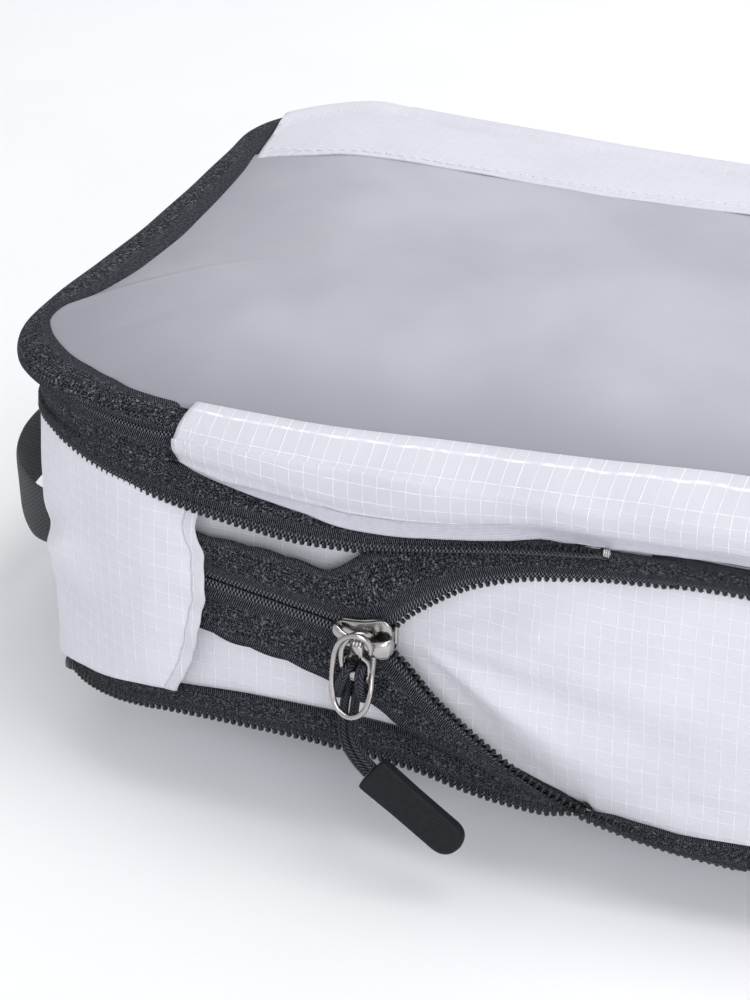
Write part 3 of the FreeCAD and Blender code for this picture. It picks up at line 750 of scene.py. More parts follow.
def flap_offset(s, z):
    """The flap's outside: it lies over the zip's closed start, and its ends go down to the seams."""
    at = wrapped(s)
    share = np.clip((z - 33.0) / 57.0, 0, 1)
    arch = np.sin(math.pi * np.clip(share * 1.04, 0, 1)) ** 0.55
    height = 1.3 + (0.9 + 2.3 * step(at, -118.0, -84.0)) * arch
    away = step(at, -176.0, -150.0)
    crease = (1.1 * bump(z - 0.75 * (at + 150), 42, 4.5) - 0.9 * bump(z - 0.75 * (at + 150), 51, 5.0)
              + 0.8 * bump(z + 0.35 * (at + 120), 55, 6.0) - 0.7 * bump(z + 0.1 * (at + 120), 46, 4.0))
    lower_left = step(-at, 100.0, 128.0) * (1 - step(z, 56.0, 78.0)) * step(z, 32.0, 40.0)
    waves = 0.45 * ripple(at, z * 1.3, 26.0, 11) + 0.14 * ripple(at, z, 9.0, 12)
    edge = 0.35 * np.sin(z * 0.5 + 0.6) * step(at, -96.0, -80.0)
    return -0.2 + (height + 0.2) * away + (1.3 * crease * lower_left + waves * arch + edge * arch) * away


def flap():
    """The flap over the zip's closed start, its turned hem, and the hem's stitching."""
    share = np.linspace(0, 1, 84)[None]
    along = np.linspace(0, 1, 70)[:, None] ** 0.85
    low = lower_seam_z(-180.0 + 93.0 * along) - 0.4
    z = low + (flap_top(-180.0 + 93.0 * along) - low) * share
    s = -180.0 + (hem_x(z) + 180.0) * along
    pile = band(Pile(), s, flap_offset(s, z), z, z * 1.03)
    made = pile.piece("garage_flap_cloth", WHITE, "ripstop", thick=0.3)
    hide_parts("garage_flap")
    squash(made)
    low = lower_seam_z(-87.0) - 0.4
    z = low + (flap_top(-87.0) - low) * share
    turn = np.linspace(0, 1, 7)[:, None]
    s = hem_x(z) - 3.0 + 3.12 * turn
    rise = 0.22 - 0.35 * np.maximum(turn - 0.8, 0) * 5
    hem = band(Pile(), s, flap_offset(s, z) + rise, z, 7.0 + 3.0 * turn)
    squash(hem.piece("flap_hem", WHITE_STRIP, "ripstop", thick=0.22))
    line_z = np.linspace(36.5, 86.0, 160)
    line = place(hem_x(line_z) - 2.4, flap_offset(hem_x(line_z) - 2.4, line_z) + 0.28, line_z)
    out = np.tile([0.0, -1.0, 0.0], (len(line), 1))
    squash(stitches("flap_hem_stitches", line, out, length=1.7, gap=0.7, radius=0.12))


def bottom():
    """The underside: it slopes in from the lower seam to a flat middle."""
    s = columns(0, ROUND, closed=True, pitch=3.0)
    profile = ((-0.8, 31.0), (-1.6, 29.6), (-2.4, 27.5), (-6.0, 22.0), (-11.5, 16.0), (-18.0, 11.0),
               (-26.0, 6.0), (-34.0, 2.4), (-40.0, 0.5), (-46.0, 0.25), (-60.0, 0.25), (-76.0, 0.25),
               (-HALF_Y, 0.25))
    line = resample([(a - 2.4 if a < -40 else a, b) for a, b in profile], 46)
    point, normal = rim(s.ravel())
    point = point - normal * settle(s.ravel(), LOWER_SEAM)[0][:, None]
    middle = np.stack([np.clip(point[:, 0], -RIDGE, RIDGE), np.zeros(len(point))], axis=1)
    inward = point - middle
    share = np.clip(-line[:, 0] / HALF_Y, 0, 1)
    height = line[None, :, 1]
    wave = 0.5 * ripple(s, height * 3, 40.0, 21) * np.sin(math.pi * np.clip(height / 31.0, 0, 1))
    at = wrapped(s)
    hollow = 8.0 * step(at, -128.0, -95.0) * (1 - step(at, -30.0, 5.0)) * step(30.5 - height, 0.0, 5.0)
    wave = wave - hollow * (1 - share[None])
    xy = point[:, None] - inward[:, None] * share[None, :, None] + normal[:, None] * wave[..., None]
    seam = lower_seam_z(s) - LOWER_SEAM
    z = (height + seam * step(height, 8.0, 31.0))[..., None]
    points = np.concatenate([xy, z], axis=-1)
    uv = np.concatenate([points[..., :2], points[:1, :, :2]])
    pile = Pile().grid(points, uv, closed=True)
    made = pile.piece("bottom_cloth", WHITE, "ripstop", thick=0.25, merge=0.3, outside=False)
    fixed(made, "base", "bottom_panel")


# ---- zips --------------------------------------------------------------------------------------

def coil(pile, line, across, outward, reach, wire=0.42, depth=1.0, per_turn=11, sides=5):
    """A coil along a line: each turn runs over the tape, round its head and back beneath."""
    run = run_along(line)
    turns = int(run[-1] / TOOTH_PITCH)
    phase = np.linspace(0, turns, turns * per_turn)
    part = np.mod(phase, 1.0)
    at = (np.floor(phase) + step(part, 0.5, 1.0)) * TOOTH_PITCH
    theta = 2 * math.pi * part
    centre, head, out = (read_off(at, run, values) for values in (line, across, outward))
    path = centre + head * (reach / 2 * np.cos(theta))[:, None] + out * (depth / 2 * np.sin(theta))[:, None]
    radius = wire * (1 + 0.95 * np.maximum(np.cos(theta), 0) ** 2.2)
    return pile.tube(path, radius, sides)


def rim_coil(pile, s, offset, z, head_down, reach, **settings):
    """A coil round the plan."""
    line = place(s, offset, z)
    _, normal = rim(s)
    outward = np.concatenate([normal, np.zeros((len(s), 1))], axis=1)
    head = np.tile([0.0, 0.0, -1.0 if head_down else 1.0], (len(s), 1))
    return coil(pile, line, head, outward, reach, **settings)


def upper_tape_offset(at, z):
    """The upper tape's outside: pushed off the wall by the gusset, and by what it lies over."""
    low = upper_coil_z(at)
    hang = np.clip((UPPER_SEAM + 0.6 - z) / (UPPER_SEAM + 0.6 - low), 0, 1)
    lift = np.where(at > ROUND / 2, upper_lift(wrapped(at)), 0.9)
    lift = np.where(at > ROUND, upper_lift(at - ROUND), lift)
    own = 0.7 + (lift - 0.4) * hang ** 1.8
    return np.maximum(own, gusset_offset(at, z) + 1.7 * np.minimum(hang * 3, 1) + 0.3)


def upper_zip():
    """The upper half of the compression zip, round the whole cube, its end lying over its start."""
    s = columns(24.0, ZIP_END)
    low = upper_coil_z(s)
    share = np.linspace(0, 1, 12)[None]
    z = low + (UPPER_SEAM + 0.6 - low) * share
    pile = band(Pile(), s, upper_tape_offset(s, z), z, TAPE_WIDTH * share)
    fixed(pile.piece("upper_zip_tape", TAPE, "zip_tape", thick=0.55), "upper", "compression_upper_tape")
    s = np.arange(30.0, ZIP_END, COIL_STEP)
    z = upper_coil_z(s)
    pile = rim_coil(Pile(), s, upper_tape_offset(s, z) - 0.85, z + 0.2, True, 2.3, wire=0.34, depth=0.8)
    fixed(pile.piece("upper_zip_coil", COIL, "zip_coil", cap=True), "upper", "compression_upper_coil")


def lower_tape_offset(at, z):
    """The lower tape's outside: it comes out from behind the wall's cloth and hangs a little outwards."""
    seam = lower_seam_z(at)
    hang = np.clip((seam + 1.0 - z) / 10.0, 0, 1)
    tuck = 1 - step(seam - z, -0.9, 0.9)
    return 0.9 + 1.2 * hang - 3.0 * tuck - 2.0 * bump(wrapped(at), -150.0, 24.0)


def lower_zip():
    """The lower half, which hangs below its seam with its coil outwards."""
    s = columns(44.0, ZIP_END)
    low, top = lower_coil_z(s) + 0.55, lower_seam_z(s) + 1.0
    share = np.linspace(0, 1, 12)[None]
    z = low + (top - low) * share
    pile = band(Pile(), s, lower_tape_offset(s, z), z, TAPE_WIDTH * share)
    fixed(pile.piece("lower_zip_tape", TAPE, "zip_tape", thick=0.55), "base", "compression_lower_tape")
    s = np.arange(50.0, ZIP_END, COIL_STEP)
    z = lower_coil_z(s)
    pile = rim_coil(Pile(), s, lower_tape_offset(s, z) - 0.55, z + 1.0, True, 2.5, wire=0.38, depth=0.8)
    fixed(pile.piece("lower_zip_coil", COIL, "zip_coil", cap=True), "base", "compression_lower_coil")


def under_strip(s):
    """1 where the main zip's tapes run in under the hinge strip, at both of its ends."""
    return 1 - step(s, STRIP_RIGHT, STRIP_RIGHT + 3.5) + step(s, ROUND + STRIP_LEFT - 3.5, ROUND + STRIP_LEFT)


def main_zip():
    """The zip between the body and the lid, outside the hinge strip."""
    s = columns(STRIP_RIGHT - 5.0, ROUND + STRIP_LEFT + 5.0)
    share = np.linspace(0, 1, 9)[None]
    puff = 0.9 + 0.5 * np.sin(math.pi * share) + 0.12 * ripple(s, share * 8, 19.0, 31) - 1.2 * under_strip(s)
    z = CHAIN - 0.35 - (CHAIN - 0.35 - UPPER_SEAM + 1.2) * share
    pile = band(Pile(), s, puff, z, 9.6 * share)
    fixed(pile.piece("main_zip_lower_cloth", TAPE, "zip_tape", thick=-0.55), "upper", "main_zip_lower_tape")
    inset = lid_inset(s)
    top = LID_EDGE + 0.3
    outer = ((0.9, CHAIN + 0.35), (1.3, CHAIN + 1.8), (1.5, CHAIN + 3.4), (1.2, CHAIN + 5.0),
             (0.2, CHAIN + 6.5), (-1.6, CHAIN + 7.5), (-3.6, top))
    inner = ((-0.55, 0.0, top + 0.25), (-0.8, 0.0, top + 0.25), (-1.0, 0.0, top), (-1.0, 0.9, top - 0.9))
    offset = np.concatenate([np.full_like(inset, a) for a, _ in outer]
                            + [inset * a - tuck for a, tuck, _ in inner], axis=1)
    z = np.concatenate([np.full_like(inset, row[-1]) for row in outer + inner], axis=1)
    across = run_along(np.stack([offset.mean(0), z.mean(0)], axis=1))[None]
    z = z - 1.2 * under_strip(s) * step(across, 5.0, 9.0)
    middle = step(across, 0.5, 4.0) * (1 - step(across, 17.0, 19.0))
    offset = offset - 1.4 * under_strip(s) + 0.25 * ripple(s, across * 2, 23.0, 32) * middle
    pile = band(Pile(), s, offset, z, across * 0.78)
    made = pile.piece("main_zip_upper_cloth", TAPE, "zip_tape", thick=0.5, subdivide=1)
    fixed(made, "lid", "main_zip_upper_tape")
    s = np.arange(STRIP_RIGHT - 6.0, ROUND + STRIP_LEFT + 6.0, 1.2)
    for name, z, down, body in (("main_zip_lower_coil", CHAIN - 0.9, False, "upper"),
                                ("main_zip_upper_coil", CHAIN + 0.9, True, "lid")):
        pile = rim_coil(Pile(), s, np.full_like(s, -0.45), np.full_like(s, z), down, 1.5, wire=0.3, depth=0.7,
                        per_turn=8, sides=4)
        fixed(pile.piece(name + "_turns", COIL, "zip_coil", cap=True), body, name)


# The compression zip's start, seen from outside as (x, z): the coil edge of each half, and its outer edge
UPPER_INNER = ((-90, 69.2), (-66, 65.3), (-48, 62.5), (-40, 61.5), (-35.5, 62.6), (-33.5, 64.4),
               (-29.2, 68.9), (-19.9, 76.0), (-13.1, 79.5), (-4.1, 82.6), (6, 84.6), (16, 86.2), (30, 87.6))
UPPER_OUTER = ((-90, 78.6), (-82, 78.0), (-75.6, 77.3), (-66, 76.9), (-58, 76.1), (-50.3, 74.9),
               (-46.3, 76.5), (-40.6, 81.0), (-32, 86.0), (-20, 89.2), (-8, 91.0), (8, 92.2), (30, 93.2))
LOWER_INNER = ((-90, 68.6), (-66, 64.7), (-48, 61.9), (-40, 60.4), (-36.5, 58.6), (-31.3, 54.4),
               (-24.1, 46.6), (-15.7, 40.0), (-9.5, 35.7), (-4.8, 32.6), (5, 27.7), (15, 24.1), (25, 21.4),
               (33, 19.8), (40, 18.9), (50, 18.4))
LOWER_OUTER = ((-90, 55.6), (-80.6, 52.9), (-73.7, 50.9), (-64.1, 49.4), (-56, 47.9), (-50.4, 46.2),
               (-44, 44.4), (-40, 42.9), (-35.4, 40.4), (-31.7, 37.7), (-24, 34.6), (-12, 31.4), (0, 27.8),
               (10, 25.4), (18, 24.2), (26, 23.0), (36, 21.8), (50, 22.4))


def start_half(word, inner, outer, side, blend, depth, names):
    """One half of the zip's start: its closed part and its opened arm, as one tape."""
    count = 190
    a, b = resample(inner, count), resample(outer, count)
    share = np.linspace(0, 1, 14)
    flat = a[:, None] + (b - a)[:, None] * share[None, :, None]
    scallop = 0.55 * np.abs(np.sin((b[:, 0] + 4.0) * math.pi / 9.2)) * (1 - step(b[:, 0], -56, -48))
    flat[..., 1] += side * scallop[:, None] * share[None] ** 3
    x, z = flat[..., 0], flat[..., 1]
    clear = 1.9 if side > 0 else 0.9 - 3.2 * share[None] ** 2 * step(x, 6.0, 20.0)
    lift = np.maximum(depth(x, z, share[None]), gusset_offset(x, z) + clear)
    y = -HALF_Y - lift - 0.12 * ripple(x, z, 11.0, 41)
    points = np.stack([x, y, z], axis=-1)
    uv = np.stack(np.broadcast_arrays(run_along(a)[:, None], share * 12.0), axis=-1)
    if side < 0:
        points, uv = points[::-1], uv[::-1]
    made = Pile().grid(points, uv).piece("zip_start_" + word, TAPE, "zip_tape", thick=0.5)
    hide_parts(*names)
    blend(made)
    return a, lift[:, 0], b - a


def zip_start():
    """The compression zip's start: both halves, their coils, and the closed coil."""
    def upper_depth(x, z, share):
        over = 3.1 - 1.7 * step(x, 4.0, 22.0) - 0.6 * step(z, 76.0, 86.0)
        return over + 0.35 * np.sin(math.pi * share) * step(-x, 36, 44) - 0.6 * share * step(x, -45, -35)

    def lower_depth(x, _, share):
        over = 3.1 + 0.9 * step(x, -30.0, 0.0) - 1.9 * step(x, 14.0, 46.0)
        tuck = 3.2 * share ** 2 * step(x, 6.0, 20.0)
        return over + 0.5 * np.sin(math.pi * share) - 0.9 * share * step(-x, 42, 60) - tuck

    def to_upper(made):
        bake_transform(made)

    def to_base(made):
        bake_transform(made)

    a, lift, out = start_half("upper", UPPER_INNER, UPPER_OUTER, 1, to_upper, upper_depth,
                              ("zip_tail_upper_tape", "zip_start_upper_tape"))
    start_coil("upper", a, lift - 0.85, out, 0.15, to_upper, 2.3, 0.34)
    a, lift, out = start_half("lower", LOWER_INNER, LOWER_OUTER, -1, to_base, lower_depth,
                              ("zip_tail_lower_tape", "zip_start_lower_tape"))
    start_coil("lower", a, lift - 0.55, out, 0.5, to_base, 2.5, 0.38)
    chain = resample(((-89, 68.75), (-66, 65.0), (-48, 62.2), (-43, 61.4)), 60)
    line = np.stack([chain[:, 0], np.full(60, -HALF_Y - 2.2), chain[:, 1]], axis=1)
    up, out = np.tile([0.0, 0.0, 1.0], (60, 1)), np.tile([0.0, -1.0, 0.0], (60, 1))
    pile = coil(Pile(), line, up, out, 2.6, wire=0.38, depth=0.8)
    fixed(pile.piece("closed_chain", COIL, "zip_coil", cap=True), "middle", "tail_coil")


def start_coil(word, inner, lift, outward, inset, blend, reach, wire):
    """The coil on an opened arm, heads towards the opening."""
    open_part = inner[:, 0] > SLIDER[0] + 3.0
    a, lift, out = inner[open_part], lift[open_part], outward[open_part]
    out = unit(out)
    line = np.stack([a[:, 0] + out[:, 0] * inset, -HALF_Y - lift, a[:, 1] + out[:, 1] * inset], axis=1)
    head = np.stack([-out[:, 0], np.zeros(len(out)), -out[:, 1]], axis=1)
    tangent = np.gradient(line, axis=0)
    head -= tangent * (np.sum(head * tangent, axis=1) / np.sum(tangent ** 2, axis=1))[:, None]
    face = np.tile([0.0, -1.0, 0.0], (len(a), 1))
    pile = coil(Pile(), line, unit(head), face, reach, wire=wire, depth=0.8)
    made = pile.piece("zip_start_" + word + "_turns", COIL, "zip_coil", cap=True)
    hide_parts("zip_start_" + word + "_coil")
    blend(made)


# ---- lid ---------------------------------------------------------------------------------------

def strip_low(x):
    """The hinge strip's lower edge: its height at x."""
    return ease(x, ((-92, 96.0), (-86, 94.4), (-80, 92.5), (-68, 90.4), (-56, 88.5), (-44, 86.8), (-36, 87.1),
                    (-26, 88.3), (-8, 91.2), (0, 92.8), (12, 93.1), (28, 94.0), (44, 94.8), (92, 93.5)))


def fold_height(x):
    """How much of the strip, up from that edge, is turned in under it."""
    return ease(x, ((-92, 0.1), (-76, 0.4), (-62, 1.9), (-48, 3.2), (-30, 3.4), (-10, 3.7), (16, 4.1),
                    (34, 3.6), (50, 3.0), (92, 2.6)))


STRIP_ROWS = ((0.5, 0.0), (1.1, 1.2), (1.9, 2.6), (2.9, 3.9), (3.5, 5.6), (3.7, 7.8), (3.5, 10.2),
              (2.8, 12.4), (1.3, 14.3), (-0.06, 15.8), (-0.36, 17.0), (-0.70, 17.7), (-0.98, 17.9),
              (-1.12, 17.2))
STRIP_RISE = max(rise for _, rise in STRIP_ROWS)


def over_tape(s, z):
    """How far the hinge strip stands off, to lie over the upper tape's end and its start."""
    end, start = upper_tape_offset(s + ROUND, z), upper_tape_offset(np.maximum(s, 0.0), z)
    return end + (start - end) * step(s, 12.0, 24.0) + 0.6


def strip_profile(s, share):
    """The hinge strip's outside, from its turned lower edge up and over to the window's seam."""
    inset = lid_inset(s)
    low = strip_low(s)
    count = 120
    over = resample([(max(a, 0.0), b) for a, b in STRIP_ROWS], count)
    back = resample([(min(a, 0.0), b) for a, b in STRIP_ROWS], count)
    at = np.linspace(0, 1, count)
    offset = np.interp(share, at, over[:, 0]) + np.interp(share, at, back[:, 0]) * inset
    rise = np.interp(share, at, over[:, 1])
    z = low + rise / STRIP_RISE * (LID_EDGE + 1.3 - low)
    clear = np.maximum(offset, over_tape(s, z))
    return clear + (offset - clear) * step(z, UPPER_SEAM - 2.0, UPPER_SEAM + 3.0), z


def hinge_blend(made):
    """Bakes the placing of a piece that runs between the body and the lid, over the hinge, into its mesh."""
    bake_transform(made)


def hinge_strip():
    """One strip of cloth across the hinge: it hides the main zip's two ends and is the lid's hinge."""
    share = np.linspace(0, 1, 30)[None]
    along = np.linspace(0, 1, 130)[:, None]
    rounding = 2.6 * (np.abs(share - 0.45) / 0.55) ** 7
    s = STRIP_LEFT + rounding + along * (STRIP_RIGHT - STRIP_LEFT - 2 * rounding)
    offset, z = strip_profile(s, share)
    puff = 0.45 * ripple(s, share * 26, 30.0, 51) * np.sin(math.pi * share)
    pile = band(Pile(), s, offset + puff, z, 22.0 * share)
    made = pile.piece("hinge_strip", WHITE_STRIP, "ripstop", thick=0.4)
    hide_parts("hinge_strip_front", "hinge_strip_top")
    hinge_blend(made)
    # The turned-in fold under the strip's lower edge, in the darker grey satin: painted shade of the fold's
    # underside.
    s = np.linspace(STRIP_LEFT + 3.0, STRIP_RIGHT - 3.0, 150)[:, None]
    up = np.linspace(-0.06, 1, 9)[None]
    profile_share = np.linspace(0, 0.4, 60)
    all_offset, all_z = strip_profile(s, profile_share[None])
    want = strip_low(s) + fold_height(s) * up
    offset = np.stack([np.interp(w, zz, oo) for w, zz, oo in zip(want, all_z, all_offset)])
    edge = 0.22 + 0.1 * ripple(s, s * 0, 6.0, 52) - 0.3 * (up > 0.99)
    pile = band(Pile(), s, offset + edge, want, up * 4.0)
    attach(pile.piece("hinge_strip_fold_shade", FOLD_SHADE_SATIN, "ripstop", thick=0.2), "upper")
    rise = np.linspace(0.08, 0.9, 60)
    for name, x, way in (("left", STRIP_LEFT + 3.4, 1), ("right", STRIP_RIGHT - 3.4, -1)):
        s = x + way * 2.6 * (np.abs(rise - 0.45) / 0.55) ** 7
        offset, z = strip_profile(s, rise)
        line = place(s, offset + 0.12, z)
        out = np.stack([np.zeros(60), -np.cos(rise * 1.5), np.sin(rise * 1.5)], axis=1)
        hinge_blend(stitches("strip_stitches_" + name, line, out, length=2.2, gap=0.9, radius=0.15))


DOME_REACH = 62.0                                  # how far in from its edge the lid goes on rising
DOME_POWER = 2.1                                   # how full its dome is


def lid_points(s, reach, under=0.0):
    """The lid's domed skin: reach is 0 on the middle line, and 1 at the inner edge of the zip's band."""
    inset = lid_inset(s) + under
    inward, drop = settle(s, np.full_like(s, LID_EDGE))
    point, normal = rim(s)
    edge = point - normal * (inset + inward)[:, None]
    middle = np.stack([np.clip(edge[:, 0], -RIDGE, RIDGE), np.zeros(len(s))], axis=1)
    xy = middle[:, None] + (edge - middle)[:, None] * reach[None, :, None]
    depth = np.linalg.norm(edge - middle, axis=1)[:, None] * (1 - reach[None])
    fall = (1 - np.clip(depth / DOME_REACH, 0, 1)) ** DOME_POWER
    z = LID_EDGE - 0.1 + (LID_TOP - LID_EDGE) * (1 - fall) - drop[:, None] * fall ** 0.8
    return xy[..., 0], xy[..., 1], z


def film_creases(x, y):
    """Soft creases in the film, that run in from its near left corner and along its near seam."""
    dx, dy = x + 128.0, y + 78.0
    reach = np.hypot(dx, dy)
    angle = np.degrees(np.arctan2(dy, dx))
    fan = (0.9 * bump(angle, 31, 4.5) - 0.7 * bump(angle, 40, 5) + 0.6 * bump(angle, 52, 5)
           - 0.5 * bump(angle, 20, 4))
    fan = fan * np.clip(reach / 18, 0, 1) * np.exp(-reach / 55)
    near = 0.45 * np.sin(x / 17.0 + 0.6) * step(-y, 45, 78) + 0.3 * np.sin(x / 29.0 - 1) * step(-y, 10, 60)
    left = 0.7 * bump(x + 0.25 * y, -96, 9) * step(60 - np.abs(y - 8), 0, 30)
    return 1.5 * fan + near - left + 0.35 * ripple(x, y, 85.0, 61)


def lid_top():
    """The window, up to the strip along the lid's far side."""
    s = columns(0, ROUND, closed=True, pitch=2.2).ravel()
    reach = np.linspace(1, 0, 52)
    x, y, z = lid_points(s, reach, under=-1.6)
    points = np.stack([x, y, z + film_creases(x, y) * (1 - reach[None] ** 6)], axis=-1)
    uv = np.concatenate([points[..., :2], points[:1, :, :2]])
    pile = Pile().grid(points, uv, closed=True)
    made = pile.piece("window_film", FILM, "frosted_film", thick=0.3, merge=0.05,
                      cuts=(((0, STRIP_SEAM_Y + 5.0, 0), (0, 1, 0)),), outside=False)
    turn_up(made)
    fixed(made, "lid", "window_panel")


def turn_up(made):
    """Turns the faces so that they look up."""
    bm = bmesh.new()
    bm.from_mesh(made.data)
    flip = [f for f in bm.faces if f.normal.z < 0]
    if len(flip) > len(bm.faces) / 2:
        bmesh.ops.reverse_faces(bm, faces=bm.faces)
    bm.to_mesh(made.data)
    bm.free()


# How the label strip goes over the zip's band to the rim: shares of the band's width, in from the rim when
# below 0, with heights over the lid's edge
LABEL_EDGE = ((-0.82, 0.75), (-0.6, 0.8), (-0.36, 0.55), (-0.12, -0.3), (0.05, -1.9), (0.15, -3.8),
              (0.16, -6.6))


def label_strip():
    """The ripstop panel along the lid's far side, lapped over the film and over the zip's band."""
    s = columns(0, ROUND, closed=True, pitch=2.2).ravel()
    reach = np.linspace(0, 1, 44)
    x, y, z = lid_points(s, reach)
    inner = np.stack([x, y, z + 0.55 + film_creases(x, y) * (1 - reach[None] ** 6)], axis=-1)
    inset = lid_inset(s)
    rows = []
    for share, rise in LABEL_EDGE:
        offset = inset * share if share < 0 else np.full_like(inset, share * 10)
        rows.append(place(s, offset + 0.7, LID_EDGE + 0.45 + rise))
    points = np.concatenate([inner, np.stack(rows, axis=1)], axis=1)
    x, y, z = (points[..., k] for k in range(3))
    z += 0.3 * ripple(x, y * 0.35, 21.0, 71) * (z > LID_EDGE - 1)
    uv = np.stack([x, y - z * 0.6], axis=-1)
    uv = np.concatenate([uv, uv[:1]])
    cut = STRIP_SEAM_Y
    cuts = (((0, cut, 0), (0, -1, 0)), ((-121.0, cut, 0), (-1.0, -0.12, 0)),
            ((124.0, cut, 0), (1.0, -0.12, 0)))
    pile = Pile().grid(points, uv, closed=True)
    made = pile.piece("label_strip_cloth", WHITE_LABEL, "ripstop", thick=0.4, merge=0.05, outside=False,
                      cuts=cuts)
    turn_up(made)
    wavy_seam(made, cut)
    fixed(made, "lid", "label_strip")
    x = np.linspace(-118.0, 120.0, 260)
    y = seam_y(x, cut) + 2.4
    line = np.stack([x, y, lid_height(x, y) + 1.0], axis=1)
    up = np.tile([0.0, 0.0, 1.0], (len(x), 1))
    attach(stitches("label_strip_stitches", line, up, length=2.3, gap=1.0, radius=0.13), "lid")


def seam_y(x, cut):
    """Where the label strip's near edge runs, along a line at cut."""
    return cut + 1.1 * np.sin(x / 21.0) + 0.6 * np.sin(x / 9.0 + 1.0) + 1.5 * step(-x, 100, 122)


def wavy_seam(made, cut):
    """Moves the strip's near edge off the straight."""
    for v in made.data.vertices:
        x, y = v.co.x / MM, v.co.y / MM
        v.co.y = (y + float(seam_y(x, 0.0)) * math.exp(-(y - cut) / 9.0)) * MM


def lid_height(x, y):
    """The height of the lid's skin at a place on it."""
    inset = np.minimum(HALF_Y - 11.0 - np.abs(y), HALF_X - 14.0 - np.abs(x))
    fall = (1 - np.clip(inset / DOME_REACH, 0, 1)) ** DOME_POWER
    return LID_EDGE - 0.1 + (LID_TOP - LID_EDGE) * (1 - fall) + film_creases(x, y)


def bindings():
    """The bound seam edges inside, and the small sewn-in care label."""
    rows = np.linspace(0, 2 * math.pi, 13)
    for name, offset, z, wide, tall, body in (
            ("lower_seam_binding", -4.6, LOWER_SEAM + 2.6, 0.9, 1.9, "base"),
            ("upper_seam_binding", -4.4, UPPER_SEAM, 0.9, 1.9, "upper"),
            ("lid_binding", -12.4, LID_EDGE - 2.6, 1.2, 0.9, "lid")):
        s = columns(0, ROUND, closed=True, pitch=4.0)
        wave = 0.25 * ripple(s, s * 0, 24.0, 81)
        loop = np.broadcast_arrays(s, offset + wave - wide * np.cos(rows)[None],
                                   z + tall * np.sin(rows)[None])
        pile = band(Pile(), *loop, rows[None] * 1.5, closed=True)
        fixed(pile.piece(name + "_tape", BINDING, "binding", merge=0.01, outside=False), body, name)
    low, high = node_box("care_label")
    x, y = np.meshgrid(np.linspace(low[0], high[0], 18), np.linspace(low[1], high[1], 10), indexing="ij")
    z = high[2] - 1.2 - ease(x, LID_DROP) + 0.25 * np.sin(x / 5.0) + 0.1 * np.cos(y / 2.0)
    pile = Pile().grid(np.stack([x, y, z], axis=-1), np.stack([x, y], axis=-1))
    fixed(pile.piece("care_label_cloth", LABEL, "label", thick=0.2), "lid", "care_label")


# ---- handle ------------------------------------------------------------------------------------

HANDLE_AT = wrapped(ROUND - 2 * STRAIGHT_X / 4 - ARC - STRAIGHT_Y / 2)
SEWN_END = 61.0                                    # the webbing's ends, round the plan from its middle


def handle():
    """The carry loop of webbing on the -X end, sewn down flat at both ends."""
    low, high = node_box("handle_webbing")
    anchor = node_box("handle_anchors")
    wall = anchor[0][0] + 0.7
    reach, middle = low[0] + 2.6, (low[2] + high[2]) / 2
    foot = high[1] + 1.0
    ways = (SEWN_END, 55.5, 49.0, -49.0, -55.5, -SEWN_END)
    sewn = [place(HANDLE_AT + way, 1.1, middle)[:2] for way in ways]
    loop = [(wall + 3.4, -foot + 5.5), (wall - 6.5, -foot + 12.0), (reach + 5.0, -foot + 24.0),
            (reach + 0.8, -foot + 38.0)]
    route = sewn[:3] + loop + [(reach, 0.0)] + [(x, -y) for x, y in loop[::-1]] + sewn[3:]
    path = resample(route, 150)
    free = 1 - step(np.abs(path[:, 1]), foot - 12.0, foot)      # 1 where nothing holds the webbing
    twist = free * np.radians(16.0 + 26.0 * np.sin(path[:, 1] / foot * math.pi * 0.5 + 0.35))
    sag = free * (3.4 + 2.6 * step(path[:, 1], -35.0, 35.0))
    tangent = unit(np.gradient(path, axis=0))
    outward = np.stack([-tangent[:, 1], tangent[:, 0]], axis=1)
    angle = np.linspace(0, 2 * math.pi, 28, endpoint=False)
    across, thick = squarish(np.cos(angle), 0.35) * 7.4, np.sin(angle) * 0.72
    u = across[:, None] * np.cos(twist) - thick[:, None] * np.sin(twist)
    v = across[:, None] * np.sin(twist) + thick[:, None] * np.cos(twist)
    x = path[:, 0] + outward[:, 0] * v
    y = path[:, 1] + outward[:, 1] * v
    z = middle - sag + u
    girth = np.concatenate([across, across[:1]])[:, None]
    uv = np.stack(np.broadcast_arrays(run_along(path)[None], girth), axis=-1)
    pile = Pile().grid(np.stack([x, y, z], axis=-1), uv, closed=True)
    made = pile.piece("handle_loop", WEBBING, "webbing", cap=True)
    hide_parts("handle_webbing", "handle_anchors")
    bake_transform(made)


def bartacks():
    """The zigzag rows that sew the webbing's ends down."""
    low, high = node_box("handle_bartacks")
    pile = Pile()
    for side in (-1, 1):
        for back in (0.8, 7.2):
            zig = np.linspace(low[2], high[2], 26)
            round_at = HANDLE_AT + side * (SEWN_END - back + 0.9 * (-1.0) ** np.arange(26))
            pile.tube(place(round_at, 2.0, zig), 0.22, 5)
    fixed(pile.piece("bartack_threads", BLACK_THREAD, "thread", cap=True), "base", "handle_bartacks")


# ---- sliders and pulls -------------------------------------------------------------------------
# Each is shaped at the origin, in front of a wall whose outside faces -Y, and then set in place.

def near_place(points):
    """On the near side, where the compression slider stands."""
    return points + SLIDER


def far_place(points):
    """Turned round to the far side, where the main slider stands."""
    return points * np.array([-1.0, -1.0, 1.0]) + MAIN_SLIDER


